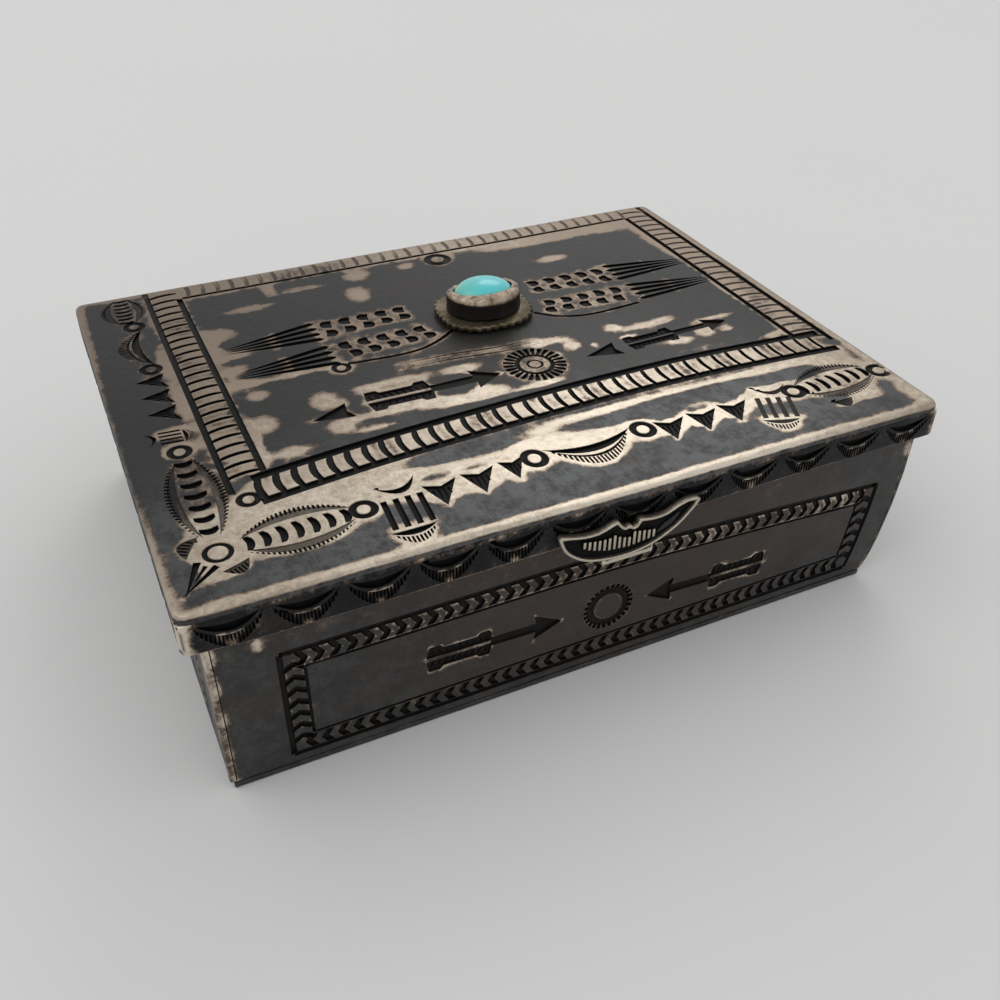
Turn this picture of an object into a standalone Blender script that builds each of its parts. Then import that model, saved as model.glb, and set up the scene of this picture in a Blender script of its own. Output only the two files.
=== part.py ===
"""Stamped silver trinket box with a hinged lid and a set turquoise stone.

Metres, +Z up. The origin is the centre of the underside. +X runs to the right
along the front, -Y faces the front with its thumb piece, and the hinge is at +Y.
"""
import math

import bmesh
import bpy
from mathutils import Vector

# Overall sizes
LID_WIDTH = 0.1016
LID_DEPTH = 0.0762
BOX_HEIGHT = 0.0297
SOLDER_GAP = 0.0003

# Lid: a flat plate over four skirt strips
LID_SHEET = 0.0011
LID_CORNER_RADIUS = 0.0016
LID_RIM_ROUND = 0.0006
SKIRT_HEIGHT = 0.0050
SKIRT_SHEET = 0.0010
SKIRT_CORNER_ROUND = 0.0008

# Base: four walls that stand on a bottom plate
WALL_SHEET = 0.0010
WALL_CORNER_ROUND = 0.0005
BOTTOM_SHEET = 0.0010
SIDE_OVERHANG = 0.0016
FRONT_CLEARANCE = 0.0004
EDGE_EASE = 0.00015

# Hinge: five tube knuckles on a pin, set in below the back skirt
HINGE_LENGTH = 0.0760
KNUCKLE_COUNT = 5
KNUCKLE_PLAY = 0.0001
TUBE_RADIUS = 0.0010
AXIS_RECESS = 0.00085
HINGE_CLEARANCE = 0.0003
PIN_RADIUS = 0.00050
PIN_CLEARANCE = 0.00006
PIN_PROUD = 0.0003
PIN_END_ROUND = 0.0001
BEARER_HEIGHT = 0.0040

# Thumb piece: a stamped crescent tab with a tongue behind it
THUMB_SHEET = 0.0010
THUMB_OFFSET_X = 0.0024
THUMB_TIP_DROP = 0.0039
THUMB_HALF_WIDTH = 0.0098
THUMB_SAG = 0.0055
THUMB_HORN_RISE = 0.0009
THUMB_NOTCH_HALF_WIDTH = 0.0016
THUMB_RIM = 0.0007
THUMB_DISH = 0.00045
RIB_COUNT = 13
RIB_WIDTH = 0.00045
RIB_PITCH = 0.00085
RIB_BAND_RISE = 0.0022
RIB_BAND_FLOOR = 0.0008
TONGUE_WIDTH = 0.0073
TONGUE_OFFSET_X = 0.0031
TONGUE_FOOT_DROP = 0.0107

# Bezel and stone on the lid
STONE_OFFSET_X = 0.0054
STONE_OFFSET_Y = 0.0104
STONE_LENGTH = 0.0094
STONE_WIDTH = 0.0080
STONE_GIRDLE = 0.0011
STONE_DOME = 0.0030
BEZEL_SHEET = 0.0006
BEZEL_HEIGHT = 0.0027
BEZEL_LIP_BULGE = 0.00012
BEZEL_LIP_HEIGHT = 0.0007
BEZEL_LIP_REACH = 0.0004
BEZEL_PLATE_SHEET = 0.0008
BEZEL_PLATE_MARGIN = 0.0019
BEZEL_TOOTH_DEPTH = 0.00035
BEZEL_TOOTH_COUNT = 36

# Facets
CORNER_STEPS = 4
TUBE_SIDES = 28
OVAL_SIDES = 48
DOME_RINGS = 7
TOOTH_STEPS = 4
ARC_STEPS = 20
ROUND_SEGMENTS = 2
CUT_OVERRUN = 0.0005

# Sheet and seat heights, worked out from the sizes above
LID_UNDERSIDE = BOX_HEIGHT - LID_SHEET
SKIRT_TOP = LID_UNDERSIDE - SOLDER_GAP
SKIRT_FOOT = BOX_HEIGHT - SKIRT_HEIGHT
THUMB_TIP_HEIGHT = BOX_HEIGHT - THUMB_TIP_DROP
TONGUE_FOOT_HEIGHT = BOX_HEIGHT - TONGUE_FOOT_DROP
WALL_TOP = LID_UNDERSIDE - SOLDER_GAP
WALL_FOOT = BOTTOM_SHEET + SOLDER_GAP
SEAT_REACH = TUBE_RADIUS + SOLDER_GAP
AXIS_HEIGHT = SKIRT_FOOT - SEAT_REACH
BEARER_TOP = AXIS_HEIGHT - SEAT_REACH

# Faces of the lid and of the base, seen from above
LID_SIDE = LID_WIDTH / 2
LID_FRONT = -LID_DEPTH / 2
LID_BACK = LID_DEPTH / 2
WALL_SIDE = LID_SIDE - SIDE_OVERHANG
WALL_FRONT = LID_FRONT + SKIRT_SHEET + FRONT_CLEARANCE
AXIS_Y = LID_BACK - AXIS_RECESS
WALL_BACK = AXIS_Y - TUBE_RADIUS - HINGE_CLEARANCE

# Bezel heights
PLATE_FOOT = BOX_HEIGHT + SOLDER_GAP
PLATE_TOP = PLATE_FOOT + BEZEL_PLATE_SHEET
CUP_FOOT = PLATE_TOP + SOLDER_GAP
CUP_TOP = CUP_FOOT + BEZEL_HEIGHT
CUP_INNER_X = STONE_LENGTH / 2 + SOLDER_GAP
CUP_INNER_Y = STONE_WIDTH / 2 + SOLDER_GAP

# Finishes: colour, roughness and metallic value
DARK_SILVER = ((0.060, 0.058, 0.056), 0.48, 0.85)
WORN_SILVER = ((0.180, 0.160, 0.140), 0.42, 0.95)
WALL_SILVER = ((0.075, 0.068, 0.062), 0.45, 0.90)
BRIGHT_SILVER = ((0.560, 0.500, 0.430), 0.30, 1.00)
BLACK_SILVER = ((0.018, 0.016, 0.015), 0.55, 0.70)
TURQUOISE = ((0.080, 0.480, 0.500), 0.28, 0.00)


def clear_scene():
    """Remove every object, so that the script starts from an empty scene."""
    for item in list(bpy.data.objects):
        bpy.data.objects.remove(item, do_unlink=True)


def make_material(name, finish):
    """Return a new Principled material with a finish's colour and gloss."""
    colour, roughness, metallic = finish
    material = bpy.data.materials.new(name)
    material.use_nodes = True
    shader = material.node_tree.nodes["Principled BSDF"]
    shader.inputs["Base Color"].default_value = (*colour, 1)
    shader.inputs["Roughness"].default_value = roughness
    shader.inputs["Metallic"].default_value = metallic
    material.diffuse_color = (*colour, 1)
    return material


def place(name, mesh_data, finish, centre, parent=None):
    """Make an object of a bmesh, put its origin at centre and dress it."""
    bmesh.ops.recalc_face_normals(mesh_data, faces=mesh_data.faces)
    mesh = bpy.data.meshes.new(name)
    mesh_data.to_mesh(mesh)
    mesh_data.free()
    item = bpy.data.objects.new(name, mesh)
    bpy.context.collection.objects.link(item)
    item.location = Vector(centre)
    if parent is not None:
        item.parent = parent
        item.location -= parent.location
    if finish is not None:
        mesh.materials.append(make_material(name, finish))
    return item


def shade_round(item, angle=math.radians(35)):
    """Shade a round piece smooth, with its sharp edges kept."""
    item.data.shade_smooth()
    item.data.set_sharp_from_angle(angle=angle)


def ease_edges(item, width=EDGE_EASE):
    """Round all of a piece's sharp edges a little, as filing leaves them."""
    bevel = item.modifiers.new("eased_edges", "BEVEL")
    bevel.width = width
    bevel.segments = ROUND_SEGMENTS
    bevel.limit_method = "ANGLE"
    bevel.angle_limit = math.radians(40)


def cut(item, cutter):
    """Take a cutter's shape out of a piece."""
    cutter.hide_render = True
    cutter.display_type = "WIRE"
    difference = item.modifiers.new("cut_" + cutter.name, "BOOLEAN")
    difference.operation = "DIFFERENCE"
    difference.object = cutter


def prism(outline, low, high):
    """Return a bmesh of a flat outline of x, y points, from low to high in z."""
    shape = bmesh.new()
    corners = [shape.verts.new((x, y, low)) for x, y in outline]
    floor = shape.faces.new(corners)
    risen = bmesh.ops.extrude_face_region(shape, geom=[floor])["geom"]
    verts = [part for part in risen if isinstance(part, bmesh.types.BMVert)]
    bmesh.ops.translate(shape, verts=verts, vec=(0, 0, high - low))
    return shape


def stand_up(shape):
    """Turn a flat bmesh up, so that its y is the height and its z faces front."""
    for vert in shape.verts:
        x, y, z = vert.co
        vert.co = (x, -z, y)
    return shape


def slab(name, low, high, finish, parent=None, ease=EDGE_EASE):
    """Make a box-shaped strip of sheet between two corners."""
    low = Vector(low)
    high = Vector(high)
    centre = (low + high) / 2
    half = (high - low) / 2
    outline = [(-half.x, -half.y), (half.x, -half.y), (half.x, half.y), (-half.x, half.y)]
    item = place(name, prism(outline, -half.z, half.z), finish, centre, parent)
    ease_edges(item, ease)
    return item


def rounded_rectangle(half_x, half_y, radius):
    """Return the outline of a rectangle with round corners."""
    outline = []
    for turn, (side_x, side_y) in enumerate(((1, 1), (-1, 1), (-1, -1), (1, -1))):
        centre_x = side_x * (half_x - radius)
        centre_y = side_y * (half_y - radius)
        for step in range(CORNER_STEPS + 1):
            angle = math.pi / 2 * (turn + step / CORNER_STEPS)
            outline.append((centre_x + radius * math.cos(angle), centre_y + radius * math.sin(angle)))
    return outline


def strip_with_round_ends(name, low, high, outer_y_side, corner_round, finish, parent=None):
    """Make a full-width strip whose two outer corners are rounded in plan."""
    low = Vector(low)
    high = Vector(high)
    centre = (low + high) / 2
    half = (high - low) / 2
    outline = []
    for turn, (side_x, side_y) in enumerate(((1, 1), (-1, 1), (-1, -1), (1, -1))):
        if side_y != outer_y_side:
            outline.append((side_x * half.x, side_y * half.y))
            continue
        corner_x = side_x * (half.x - corner_round)
        corner_y = side_y * (half.y - corner_round)
        for step in range(CORNER_STEPS + 1):
            angle = math.pi / 2 * (turn + step / CORNER_STEPS)
            outline.append((corner_x + corner_round * math.cos(angle),
                            corner_y + corner_round * math.sin(angle)))
    item = place(name, prism(outline, -half.z, half.z), finish, centre, parent)
    ease_edges(item)
    return item


def build_base():
    """Make the bottom plate and the four walls that stand on it."""
    centre_y = (WALL_FRONT + WALL_BACK) / 2
    half_y = (WALL_BACK - WALL_FRONT) / 2
    outline = rounded_rectangle(WALL_SIDE, half_y, WALL_CORNER_ROUND)
    bottom = place("bottom_plate", prism(outline, 0, BOTTOM_SHEET), WALL_SILVER, (0, centre_y, 0))
    ease_edges(bottom)

    strip_with_round_ends("front_wall", (-WALL_SIDE, WALL_FRONT, WALL_FOOT),
                          (WALL_SIDE, WALL_FRONT + WALL_SHEET, WALL_TOP),
                          -1, WALL_CORNER_ROUND, WALL_SILVER)
    strip_with_round_ends("back_wall", (-WALL_SIDE, WALL_BACK - WALL_SHEET, WALL_FOOT),
                          (WALL_SIDE, WALL_BACK, WALL_TOP),
                          1, WALL_CORNER_ROUND, WALL_SILVER)
    side_front = WALL_FRONT + WALL_SHEET + SOLDER_GAP
    side_back = WALL_BACK - WALL_SHEET - SOLDER_GAP
    slab("left_wall", (-WALL_SIDE, side_front, WALL_FOOT),
         (WALL_SHEET - WALL_SIDE, side_back, WALL_TOP), WALL_SILVER)
    slab("right_wall", (WALL_SIDE - WALL_SHEET, side_front, WALL_FOOT),
         (WALL_SIDE, side_back, WALL_TOP), WALL_SILVER)


def build_lid(hinge_axis):
    """Make the lid plate with its rounded rim and the skirt strips below it."""
    outline = rounded_rectangle(LID_SIDE, LID_DEPTH / 2, LID_CORNER_RADIUS)
    shape = prism(outline, 0, LID_SHEET)
    rim = [edge for edge in shape.edges if all(abs(vert.co.z - LID_SHEET) < LID_RIM_ROUND
                                               for vert in edge.verts)]
    bmesh.ops.bevel(shape, geom=rim, offset=LID_RIM_ROUND, offset_type="OFFSET",
                    segments=ROUND_SEGMENTS + 1, profile=0.5, affect="EDGES")
    plate = place("lid_plate", shape, DARK_SILVER, (0, 0, LID_UNDERSIDE), hinge_axis)
    shade_round(plate)

    strip_with_round_ends("front_skirt", (-LID_SIDE, LID_FRONT, SKIRT_FOOT),
                          (LID_SIDE, LID_FRONT + SKIRT_SHEET, SKIRT_TOP),
                          -1, SKIRT_CORNER_ROUND, WORN_SILVER, hinge_axis)
    strip_with_round_ends("back_skirt", (-LID_SIDE, LID_BACK - SKIRT_SHEET, SKIRT_FOOT),
                          (LID_SIDE, LID_BACK, SKIRT_TOP),
                          1, SKIRT_CORNER_ROUND, WORN_SILVER, hinge_axis)
    side_front = LID_FRONT + SKIRT_SHEET + SOLDER_GAP
    side_back = LID_BACK - SKIRT_SHEET - SOLDER_GAP
    slab("left_skirt", (-LID_SIDE, side_front, SKIRT_FOOT),
         (SKIRT_SHEET - LID_SIDE, side_back, SKIRT_TOP), WORN_SILVER, hinge_axis)
    slab("right_skirt", (LID_SIDE - SKIRT_SHEET, side_front, SKIRT_FOOT),
         (LID_SIDE, side_back, SKIRT_TOP), WORN_SILVER, hinge_axis)


def tube(name, start, end, finish, parent=None):
    """Make one hinge knuckle, a tube round the hinge axis from start to end in x."""
    bore_radius = PIN_RADIUS + PIN_CLEARANCE
    half = (end - start) / 2
    shape = bmesh.new()
    rings = []
    for radius, x in ((TUBE_RADIUS, -half), (TUBE_RADIUS, half), (bore_radius, half), (bore_radius, -half)):
        ring = []
        for step in range(TUBE_SIDES):
            angle = math.tau * step / TUBE_SIDES
            ring.append(shape.verts.new((x, radius * math.cos(angle), radius * math.sin(angle))))
        rings.append(ring)
    for index, ring in enumerate(rings):
        following = rings[(index + 1) % len(rings)]
        for step in range(TUBE_SIDES):
            after = (step + 1) % TUBE_SIDES
            shape.faces.new((ring[step], ring[after], following[after], following[step]))
    item = place(name, shape, finish, ((start + end) / 2, AXIS_Y, AXIS_HEIGHT), parent)
    shade_round(item)
    return item


def build_hinge(hinge_axis):
    """Make the bearer strip, the knuckles in turn on the base and lid, and the pin."""
    slab("hinge_bearer", (-HINGE_LENGTH / 2, WALL_BACK + SOLDER_GAP, BEARER_TOP - BEARER_HEIGHT),
         (HINGE_LENGTH / 2, LID_BACK, BEARER_TOP), WALL_SILVER)

    pitch = HINGE_LENGTH / KNUCKLE_COUNT
    base_made = 0
    lid_made = 0
    for index in range(KNUCKLE_COUNT):
        start = index * pitch - HINGE_LENGTH / 2 + KNUCKLE_PLAY / 2
        end = start + pitch - KNUCKLE_PLAY
        if index % 2 == 0:
            base_made += 1
            tube(f"base_knuckle_{base_made}", start, end, WORN_SILVER)
        else:
            lid_made += 1
            tube(f"lid_knuckle_{lid_made}", start, end, WORN_SILVER, hinge_axis)

    half = HINGE_LENGTH / 2 + PIN_PROUD
    outline = []
    for step in range(TUBE_SIDES):
        angle = math.tau * step / TUBE_SIDES
        outline.append((PIN_RADIUS * math.cos(angle), PIN_RADIUS * math.sin(angle)))
    pin = place("hinge_pin", prism(outline, -half, half), BRIGHT_SILVER, (0, AXIS_Y, AXIS_HEIGHT))
    pin.rotation_euler = (math.pi / 2, 0, math.pi / 2)
    shade_round(pin)
    ease_edges(pin, PIN_END_ROUND)


def thumb_lower_edge(x):
    """Return how far the thumb piece's lower edge hangs below its tips at x."""
    radius = (THUMB_HALF_WIDTH ** 2 + THUMB_SAG ** 2) / (2 * THUMB_SAG)
    return radius - THUMB_SAG - math.sqrt(max(radius ** 2 - x ** 2, 0))


def thumb_upper_edge(x):
    """Return the height over the tips of the thumb piece's wavy upper edge at x."""
    distance = abs(x)
    if distance < THUMB_NOTCH_HALF_WIDTH:
        turn = math.pi * distance / THUMB_NOTCH_HALF_WIDTH
        return -THUMB_HORN_RISE * (1 + math.cos(turn)) / 2
    swing = (distance - THUMB_NOTCH_HALF_WIDTH) / (THUMB_HALF_WIDTH - THUMB_NOTCH_HALF_WIDTH)
    return -THUMB_HORN_RISE * math.sin(math.pi * swing) ** 2 * (1 - swing) + THUMB_HORN_RISE * swing ** 4 / 2


def thumb_outline(inset):
    """Return the crescent's outline, drawn in all round by inset."""
    reach = THUMB_HALF_WIDTH - inset * 2
    lower = []
    upper = []
    for step in range(ARC_STEPS + 1):
        x = reach * math.sin(math.pi * (step / ARC_STEPS - 1 / 2))
        low = thumb_lower_edge(x) + inset
        high = thumb_upper_edge(x) - inset
        if 0 < step < ARC_STEPS:
            lower.append((x, min(low, high - EDGE_EASE)))
            upper.append((x, high))
        else:
            lower.append((x, (low + high) / 2))
    upper.reverse()
    return lower + upper


def build_thumb_piece(hinge_axis):
    """Make the crescent tab with its dished, ribbed face, and the tongue behind it."""
    back = LID_FRONT - SOLDER_GAP
    place_at = (THUMB_OFFSET_X, back, THUMB_TIP_HEIGHT)
    tab = place("thumb_piece", stand_up(prism(thumb_outline(0), 0, THUMB_SHEET)),
                BRIGHT_SILVER, place_at, hinge_axis)

    dish_floor = THUMB_SHEET - THUMB_DISH
    dish = place("dish_cutter", stand_up(prism(thumb_outline(THUMB_RIM), dish_floor,
                                               THUMB_SHEET + CUT_OVERRUN)),
                 None, place_at, hinge_axis)
    for index in range(RIB_COUNT):
        x = (index - (RIB_COUNT - 1) / 2) * RIB_PITCH
        low = thumb_lower_edge(x) + THUMB_RIM + RIB_BAND_FLOOR
        high = min(low + RIB_BAND_RISE, thumb_upper_edge(x) - THUMB_RIM - RIB_BAND_FLOOR)
        if high - low < RIB_WIDTH:
            continue
        outline = [(x - RIB_WIDTH / 2, low), (x + RIB_WIDTH / 2, low),
                   (x + RIB_WIDTH / 2, high), (x - RIB_WIDTH / 2, high)]
        rib = place(f"rib_cutter_{index}", stand_up(prism(outline, dish_floor - CUT_OVERRUN,
                                                          THUMB_SHEET - THUMB_DISH / 3)),
                    None, place_at, hinge_axis)
        cut(dish, rib)
    cut(tab, dish)

    tongue_x = TONGUE_OFFSET_X
    slab("thumb_tongue", (tongue_x - TONGUE_WIDTH / 2, LID_FRONT, TONGUE_FOOT_HEIGHT),
         (tongue_x + TONGUE_WIDTH / 2, LID_FRONT + SKIRT_SHEET, SKIRT_FOOT - SOLDER_GAP),
         WORN_SILVER, hinge_axis)


def oval_ring(shape, half_x, half_y, height):
    """Add one oval ring of points to a bmesh and return them."""
    ring = []
    for step in range(OVAL_SIDES):
        angle = math.tau * step / OVAL_SIDES
        ring.append(shape.verts.new((half_x * math.cos(angle), half_y * math.sin(angle), height)))
    return ring


def skin(shape, rings, closed):
    """Join neighbouring rings of points with faces, and the last to the first if closed."""
    pairs = list(zip(rings, rings[1:]))
    if closed:
        pairs.append((rings[-1], rings[0]))
    for ring, following in pairs:
        for step in range(len(ring)):
            after = (step + 1) % len(ring)
            shape.faces.new((ring[step], ring[after], following[after], following[step]))


def build_bezel(hinge_axis):
    """Make the toothed plate, the cup with its rolled lip, and the domed stone."""
    wall = BEZEL_SHEET
    plate_x = CUP_INNER_X + wall + BEZEL_PLATE_MARGIN
    plate_y = CUP_INNER_Y + wall + BEZEL_PLATE_MARGIN
    outline = []
    count = BEZEL_TOOTH_COUNT * TOOTH_STEPS
    for step in range(count):
        angle = math.tau * step / count
        drop = BEZEL_TOOTH_DEPTH * (1 - math.cos(angle * BEZEL_TOOTH_COUNT)) / 2
        outline.append(((plate_x - drop) * math.cos(angle), (plate_y - drop) * math.sin(angle)))
    place("bezel_plate", prism(outline, 0, BEZEL_PLATE_SHEET), WORN_SILVER,
          (STONE_OFFSET_X, STONE_OFFSET_Y, PLATE_FOOT), hinge_axis)

    section = (
        (wall, 0),
        (wall, BEZEL_HEIGHT - BEZEL_LIP_HEIGHT),
        (wall + BEZEL_LIP_BULGE, BEZEL_HEIGHT - BEZEL_LIP_HEIGHT / 2),
        (wall / 2, BEZEL_HEIGHT),
        (-BEZEL_LIP_REACH, BEZEL_HEIGHT - BEZEL_LIP_HEIGHT / 4),
        (0, BEZEL_HEIGHT - BEZEL_LIP_HEIGHT),
        (0, 0),
    )
    shape = bmesh.new()
    rings = [oval_ring(shape, CUP_INNER_X + out, CUP_INNER_Y + out, height) for out, height in section]
    skin(shape, rings, closed=True)
    cup = place("bezel_cup", shape, BLACK_SILVER, (STONE_OFFSET_X, STONE_OFFSET_Y, CUP_FOOT), hinge_axis)
    shade_round(cup)

    shape = bmesh.new()
    rings = [oval_ring(shape, STONE_LENGTH / 2, STONE_WIDTH / 2, 0)]
    for step in range(DOME_RINGS):
        angle = math.pi / 2 * step / DOME_RINGS
        rings.append(oval_ring(shape, STONE_LENGTH / 2 * math.cos(angle), STONE_WIDTH / 2 * math.cos(angle),
                               STONE_GIRDLE + STONE_DOME * math.sin(angle)))
    skin(shape, rings, closed=False)
    shape.faces.new(rings[0])
    crown = shape.verts.new((0, 0, STONE_GIRDLE + STONE_DOME))
    for step in range(OVAL_SIDES):
        shape.faces.new((rings[-1][step], rings[-1][(step + 1) % OVAL_SIDES], crown))
    stone = place("turquoise_stone", shape, TURQUOISE, (STONE_OFFSET_X, STONE_OFFSET_Y, CUP_FOOT), hinge_axis)
    shade_round(stone)


def build_trinket_box():
    """Make the whole box, with the lid's pieces hung from an empty on the hinge axis."""
    clear_scene()
    hinge_axis = bpy.data.objects.new("hinge_axis", None)
    bpy.context.collection.objects.link(hinge_axis)
    hinge_axis.location = (0, AXIS_Y, AXIS_HEIGHT)
    build_base()
    build_lid(hinge_axis)
    build_hinge(hinge_axis)
    build_thumb_piece(hinge_axis)
    build_bezel(hinge_axis)


build_trinket_box()
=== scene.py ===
"""Looks of the stamped silver trinket box: its sheets, stamps, hinge, setting and stone.

Pieces are modelled in millimetres on their own bench, then seated in the frame's metres.
"""
from __future__ import annotations

import logging
import math
from dataclasses import dataclass, field, replace
from enum import Enum
from typing import Callable, ClassVar, Iterable

import bpy
from mathutils import Matrix, Vector, kdtree, noise

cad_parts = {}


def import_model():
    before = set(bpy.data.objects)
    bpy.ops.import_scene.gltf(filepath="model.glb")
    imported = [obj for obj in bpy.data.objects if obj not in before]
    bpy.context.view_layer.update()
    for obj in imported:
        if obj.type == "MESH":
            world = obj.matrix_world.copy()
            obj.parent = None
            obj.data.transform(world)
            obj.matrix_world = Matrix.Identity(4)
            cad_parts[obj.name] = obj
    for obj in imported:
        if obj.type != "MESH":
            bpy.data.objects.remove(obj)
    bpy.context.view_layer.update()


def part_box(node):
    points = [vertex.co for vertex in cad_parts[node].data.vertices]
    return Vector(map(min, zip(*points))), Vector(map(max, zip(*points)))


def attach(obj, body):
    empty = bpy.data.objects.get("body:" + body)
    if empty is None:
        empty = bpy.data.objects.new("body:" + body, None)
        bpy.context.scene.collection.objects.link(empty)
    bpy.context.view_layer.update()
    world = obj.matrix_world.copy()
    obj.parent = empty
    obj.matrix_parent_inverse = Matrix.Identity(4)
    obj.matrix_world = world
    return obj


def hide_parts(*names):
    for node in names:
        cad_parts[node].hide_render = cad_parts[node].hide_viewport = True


MM = 0.001
LOG = logging.getLogger("trinket_box")

Point = tuple[float, float]
Path = tuple[Point, ...]
Colour = tuple[float, float, float]
Section = Callable[[float], list[Point]]
Piece = bpy.types.Object
Finish = bpy.types.Material

STRAIGHT: Path = ((0.0, 0.0),)


class Body(Enum):
    """The two bodies that the hinge joins."""

    BASE = "base"
    LID = "lid"


class Slot(Enum):
    """The record's material slots."""

    LID = "stamped_lid_silver"
    WALL = "dark_wall_silver"
    WORN = "worn_silver"
    BRIGHT = "bright_silver"
    BEZEL = "bezel_silver"
    STONE = "turquoise"


class Layer(Enum):
    """The order in which stamps are struck, so that stamps of one layer never cross."""

    GROUND = 0
    DETAIL = 1


class Wire:
    """A shader socket whose sums and products add their own Math nodes."""

    def __init__(self, graph: "Graph", socket: bpy.types.NodeSocket) -> None:
        """Keep the graph that the socket belongs to."""
        self.graph = graph
        self.socket = socket

    def _math(self, operation: str, first: "Wire | float", second: "Wire | float") -> "Wire":
        """Add one Math node for two operands and return its output."""
        return self.graph.node("ShaderNodeMath", {"operation": operation}, {0: first, 1: second})

    def __add__(self, other: "Wire | float") -> "Wire":
        """Add a wire or a number."""
        return self._math("ADD", self, other)

    def __radd__(self, other: float) -> "Wire":
        """Add this wire to a number."""
        return self._math("ADD", other, self)

    def __sub__(self, other: "Wire | float") -> "Wire":
        """Subtract a wire or a number."""
        return self._math("SUBTRACT", self, other)

    def __rsub__(self, other: float) -> "Wire":
        """Subtract this wire from a number."""
        return self._math("SUBTRACT", other, self)

    def __mul__(self, other: "Wire | float") -> "Wire":
        """Multiply by a wire or a number."""
        return self._math("MULTIPLY", self, other)

    def __rmul__(self, other: float) -> "Wire":
        """Multiply a number by this wire."""
        return self._math("MULTIPLY", other, self)

    def step(self, low: float, high: float) -> "Wire":
        """Return a smooth rise from 0 at low to 1 at high."""
        settings = {"interpolation_type": "SMOOTHSTEP"}
        return self.graph.node("ShaderNodeMapRange", settings,
                               {"Value": self, "From Min": low, "From Max": high})


class Graph:
    """One material's node tree, built from expressions."""

    def __init__(self, name: str) -> None:
        """Make a material with a bare Principled shader.

        Args:
            name: the material's name.
        """
        self.material = bpy.data.materials.new(name)
        self.material.use_nodes = True
        self.tree = self.material.node_tree
        self.shader = self.tree.nodes["Principled BSDF"]

    def node(self, kind: str, settings: dict, inputs: dict, output: int | str = 0) -> Wire:
        """Add a node, set it up, feed its sockets and return one of its outputs.

        Args:
            kind: the node's type.
            settings: properties that are set before the sockets are fed.
            inputs: values or wires, by socket name or number.
            output: the output to return.

        Returns:
            The output, ready for expressions.
        """
        made = self.tree.nodes.new(kind)
        for key, value in settings.items():
            setattr(made, key, value)
        for key, value in inputs.items():
            self.plug(made.inputs[key], value)
        return Wire(self, made.outputs[output])

    def plug(self, socket: bpy.types.NodeSocket, value: "Wire | float | Colour") -> None:
        """Link a wire to a socket, or set a plain value on it."""
        if isinstance(value, Wire):
            self.tree.links.new(value.socket, socket)
        else:
            socket.default_value = value

    def place(self) -> Wire:
        """Return the Object coordinates, in metres."""
        return self.node("ShaderNodeTexCoord", {}, {}, "Object")

    def along(self, axis: str) -> Wire:
        """Return the Object coordinate along X, Y or Z, in metres."""
        return self.node("ShaderNodeSeparateXYZ", {}, {"Vector": self.place()}, axis)

    def attribute(self, name: str) -> Wire:
        """Return a number stored on the piece's points."""
        return self.node("ShaderNodeAttribute", {"attribute_name": name}, {}, "Fac")

    def clouds(self, grain_mm: float, detail: float = 3.0, stretch: Colour = (1, 1, 1),
               turn: float = 0.0) -> Wire:
        """Return noise about zero, whose lumps are about grain_mm across.

        Args:
            grain_mm: the size of a lump in millimetres.
            detail: how many finer layers are added.
            stretch: how much finer the noise is along each axis.
            turn: a turn of the pattern about Z, in degrees.

        Returns:
            A number from about -0.5 to 0.5.
        """
        turned = self.node("ShaderNodeMapping", {},
                           {"Vector": self.place(), "Scale": stretch,
                            "Rotation": (0, 0, math.radians(turn))})
        made = self.node("ShaderNodeTexNoise", {},
                         {"Vector": turned, "Scale": 1 / (grain_mm * MM), "Detail": detail,
                          "Roughness": 0.6})
        return made - 0.5

    def mix(self, first: "Colour | Wire", second: "Colour | Wire", share: "Wire | float") -> Wire:
        """Mix two colours.

        Args:
            first: the colour at share 0.
            second: the colour at share 1.
            share: how much of the second colour shows.

        Returns:
            The mixed colour.
        """
        inputs = {"Factor": share}
        for key, value in ((6, first), (7, second)):
            inputs[key] = value if isinstance(value, Wire) else (*value, 1)
        return self.node("ShaderNodeMix", {"data_type": "RGBA"}, inputs, 2)

    def feed(self, **sockets: "Wire | float") -> None:
        """Feed the Principled shader's sockets, with _ for a space in a name.

        Args:
            sockets: values or wires, by socket name.
        """
        for key, value in sockets.items():
            self.plug(self.shader.inputs[key.replace("_", " ")], value)

    def bump(self, height: Wire, depth_mm: float, strength: float = 1.0) -> Wire:
        """Return a normal bent by a height from 0 to 1 over depth_mm."""
        return self.node("ShaderNodeBump", {}, {"Height": height, "Distance": depth_mm * MM,
                                                "Strength": strength}, "Normal")


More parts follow.
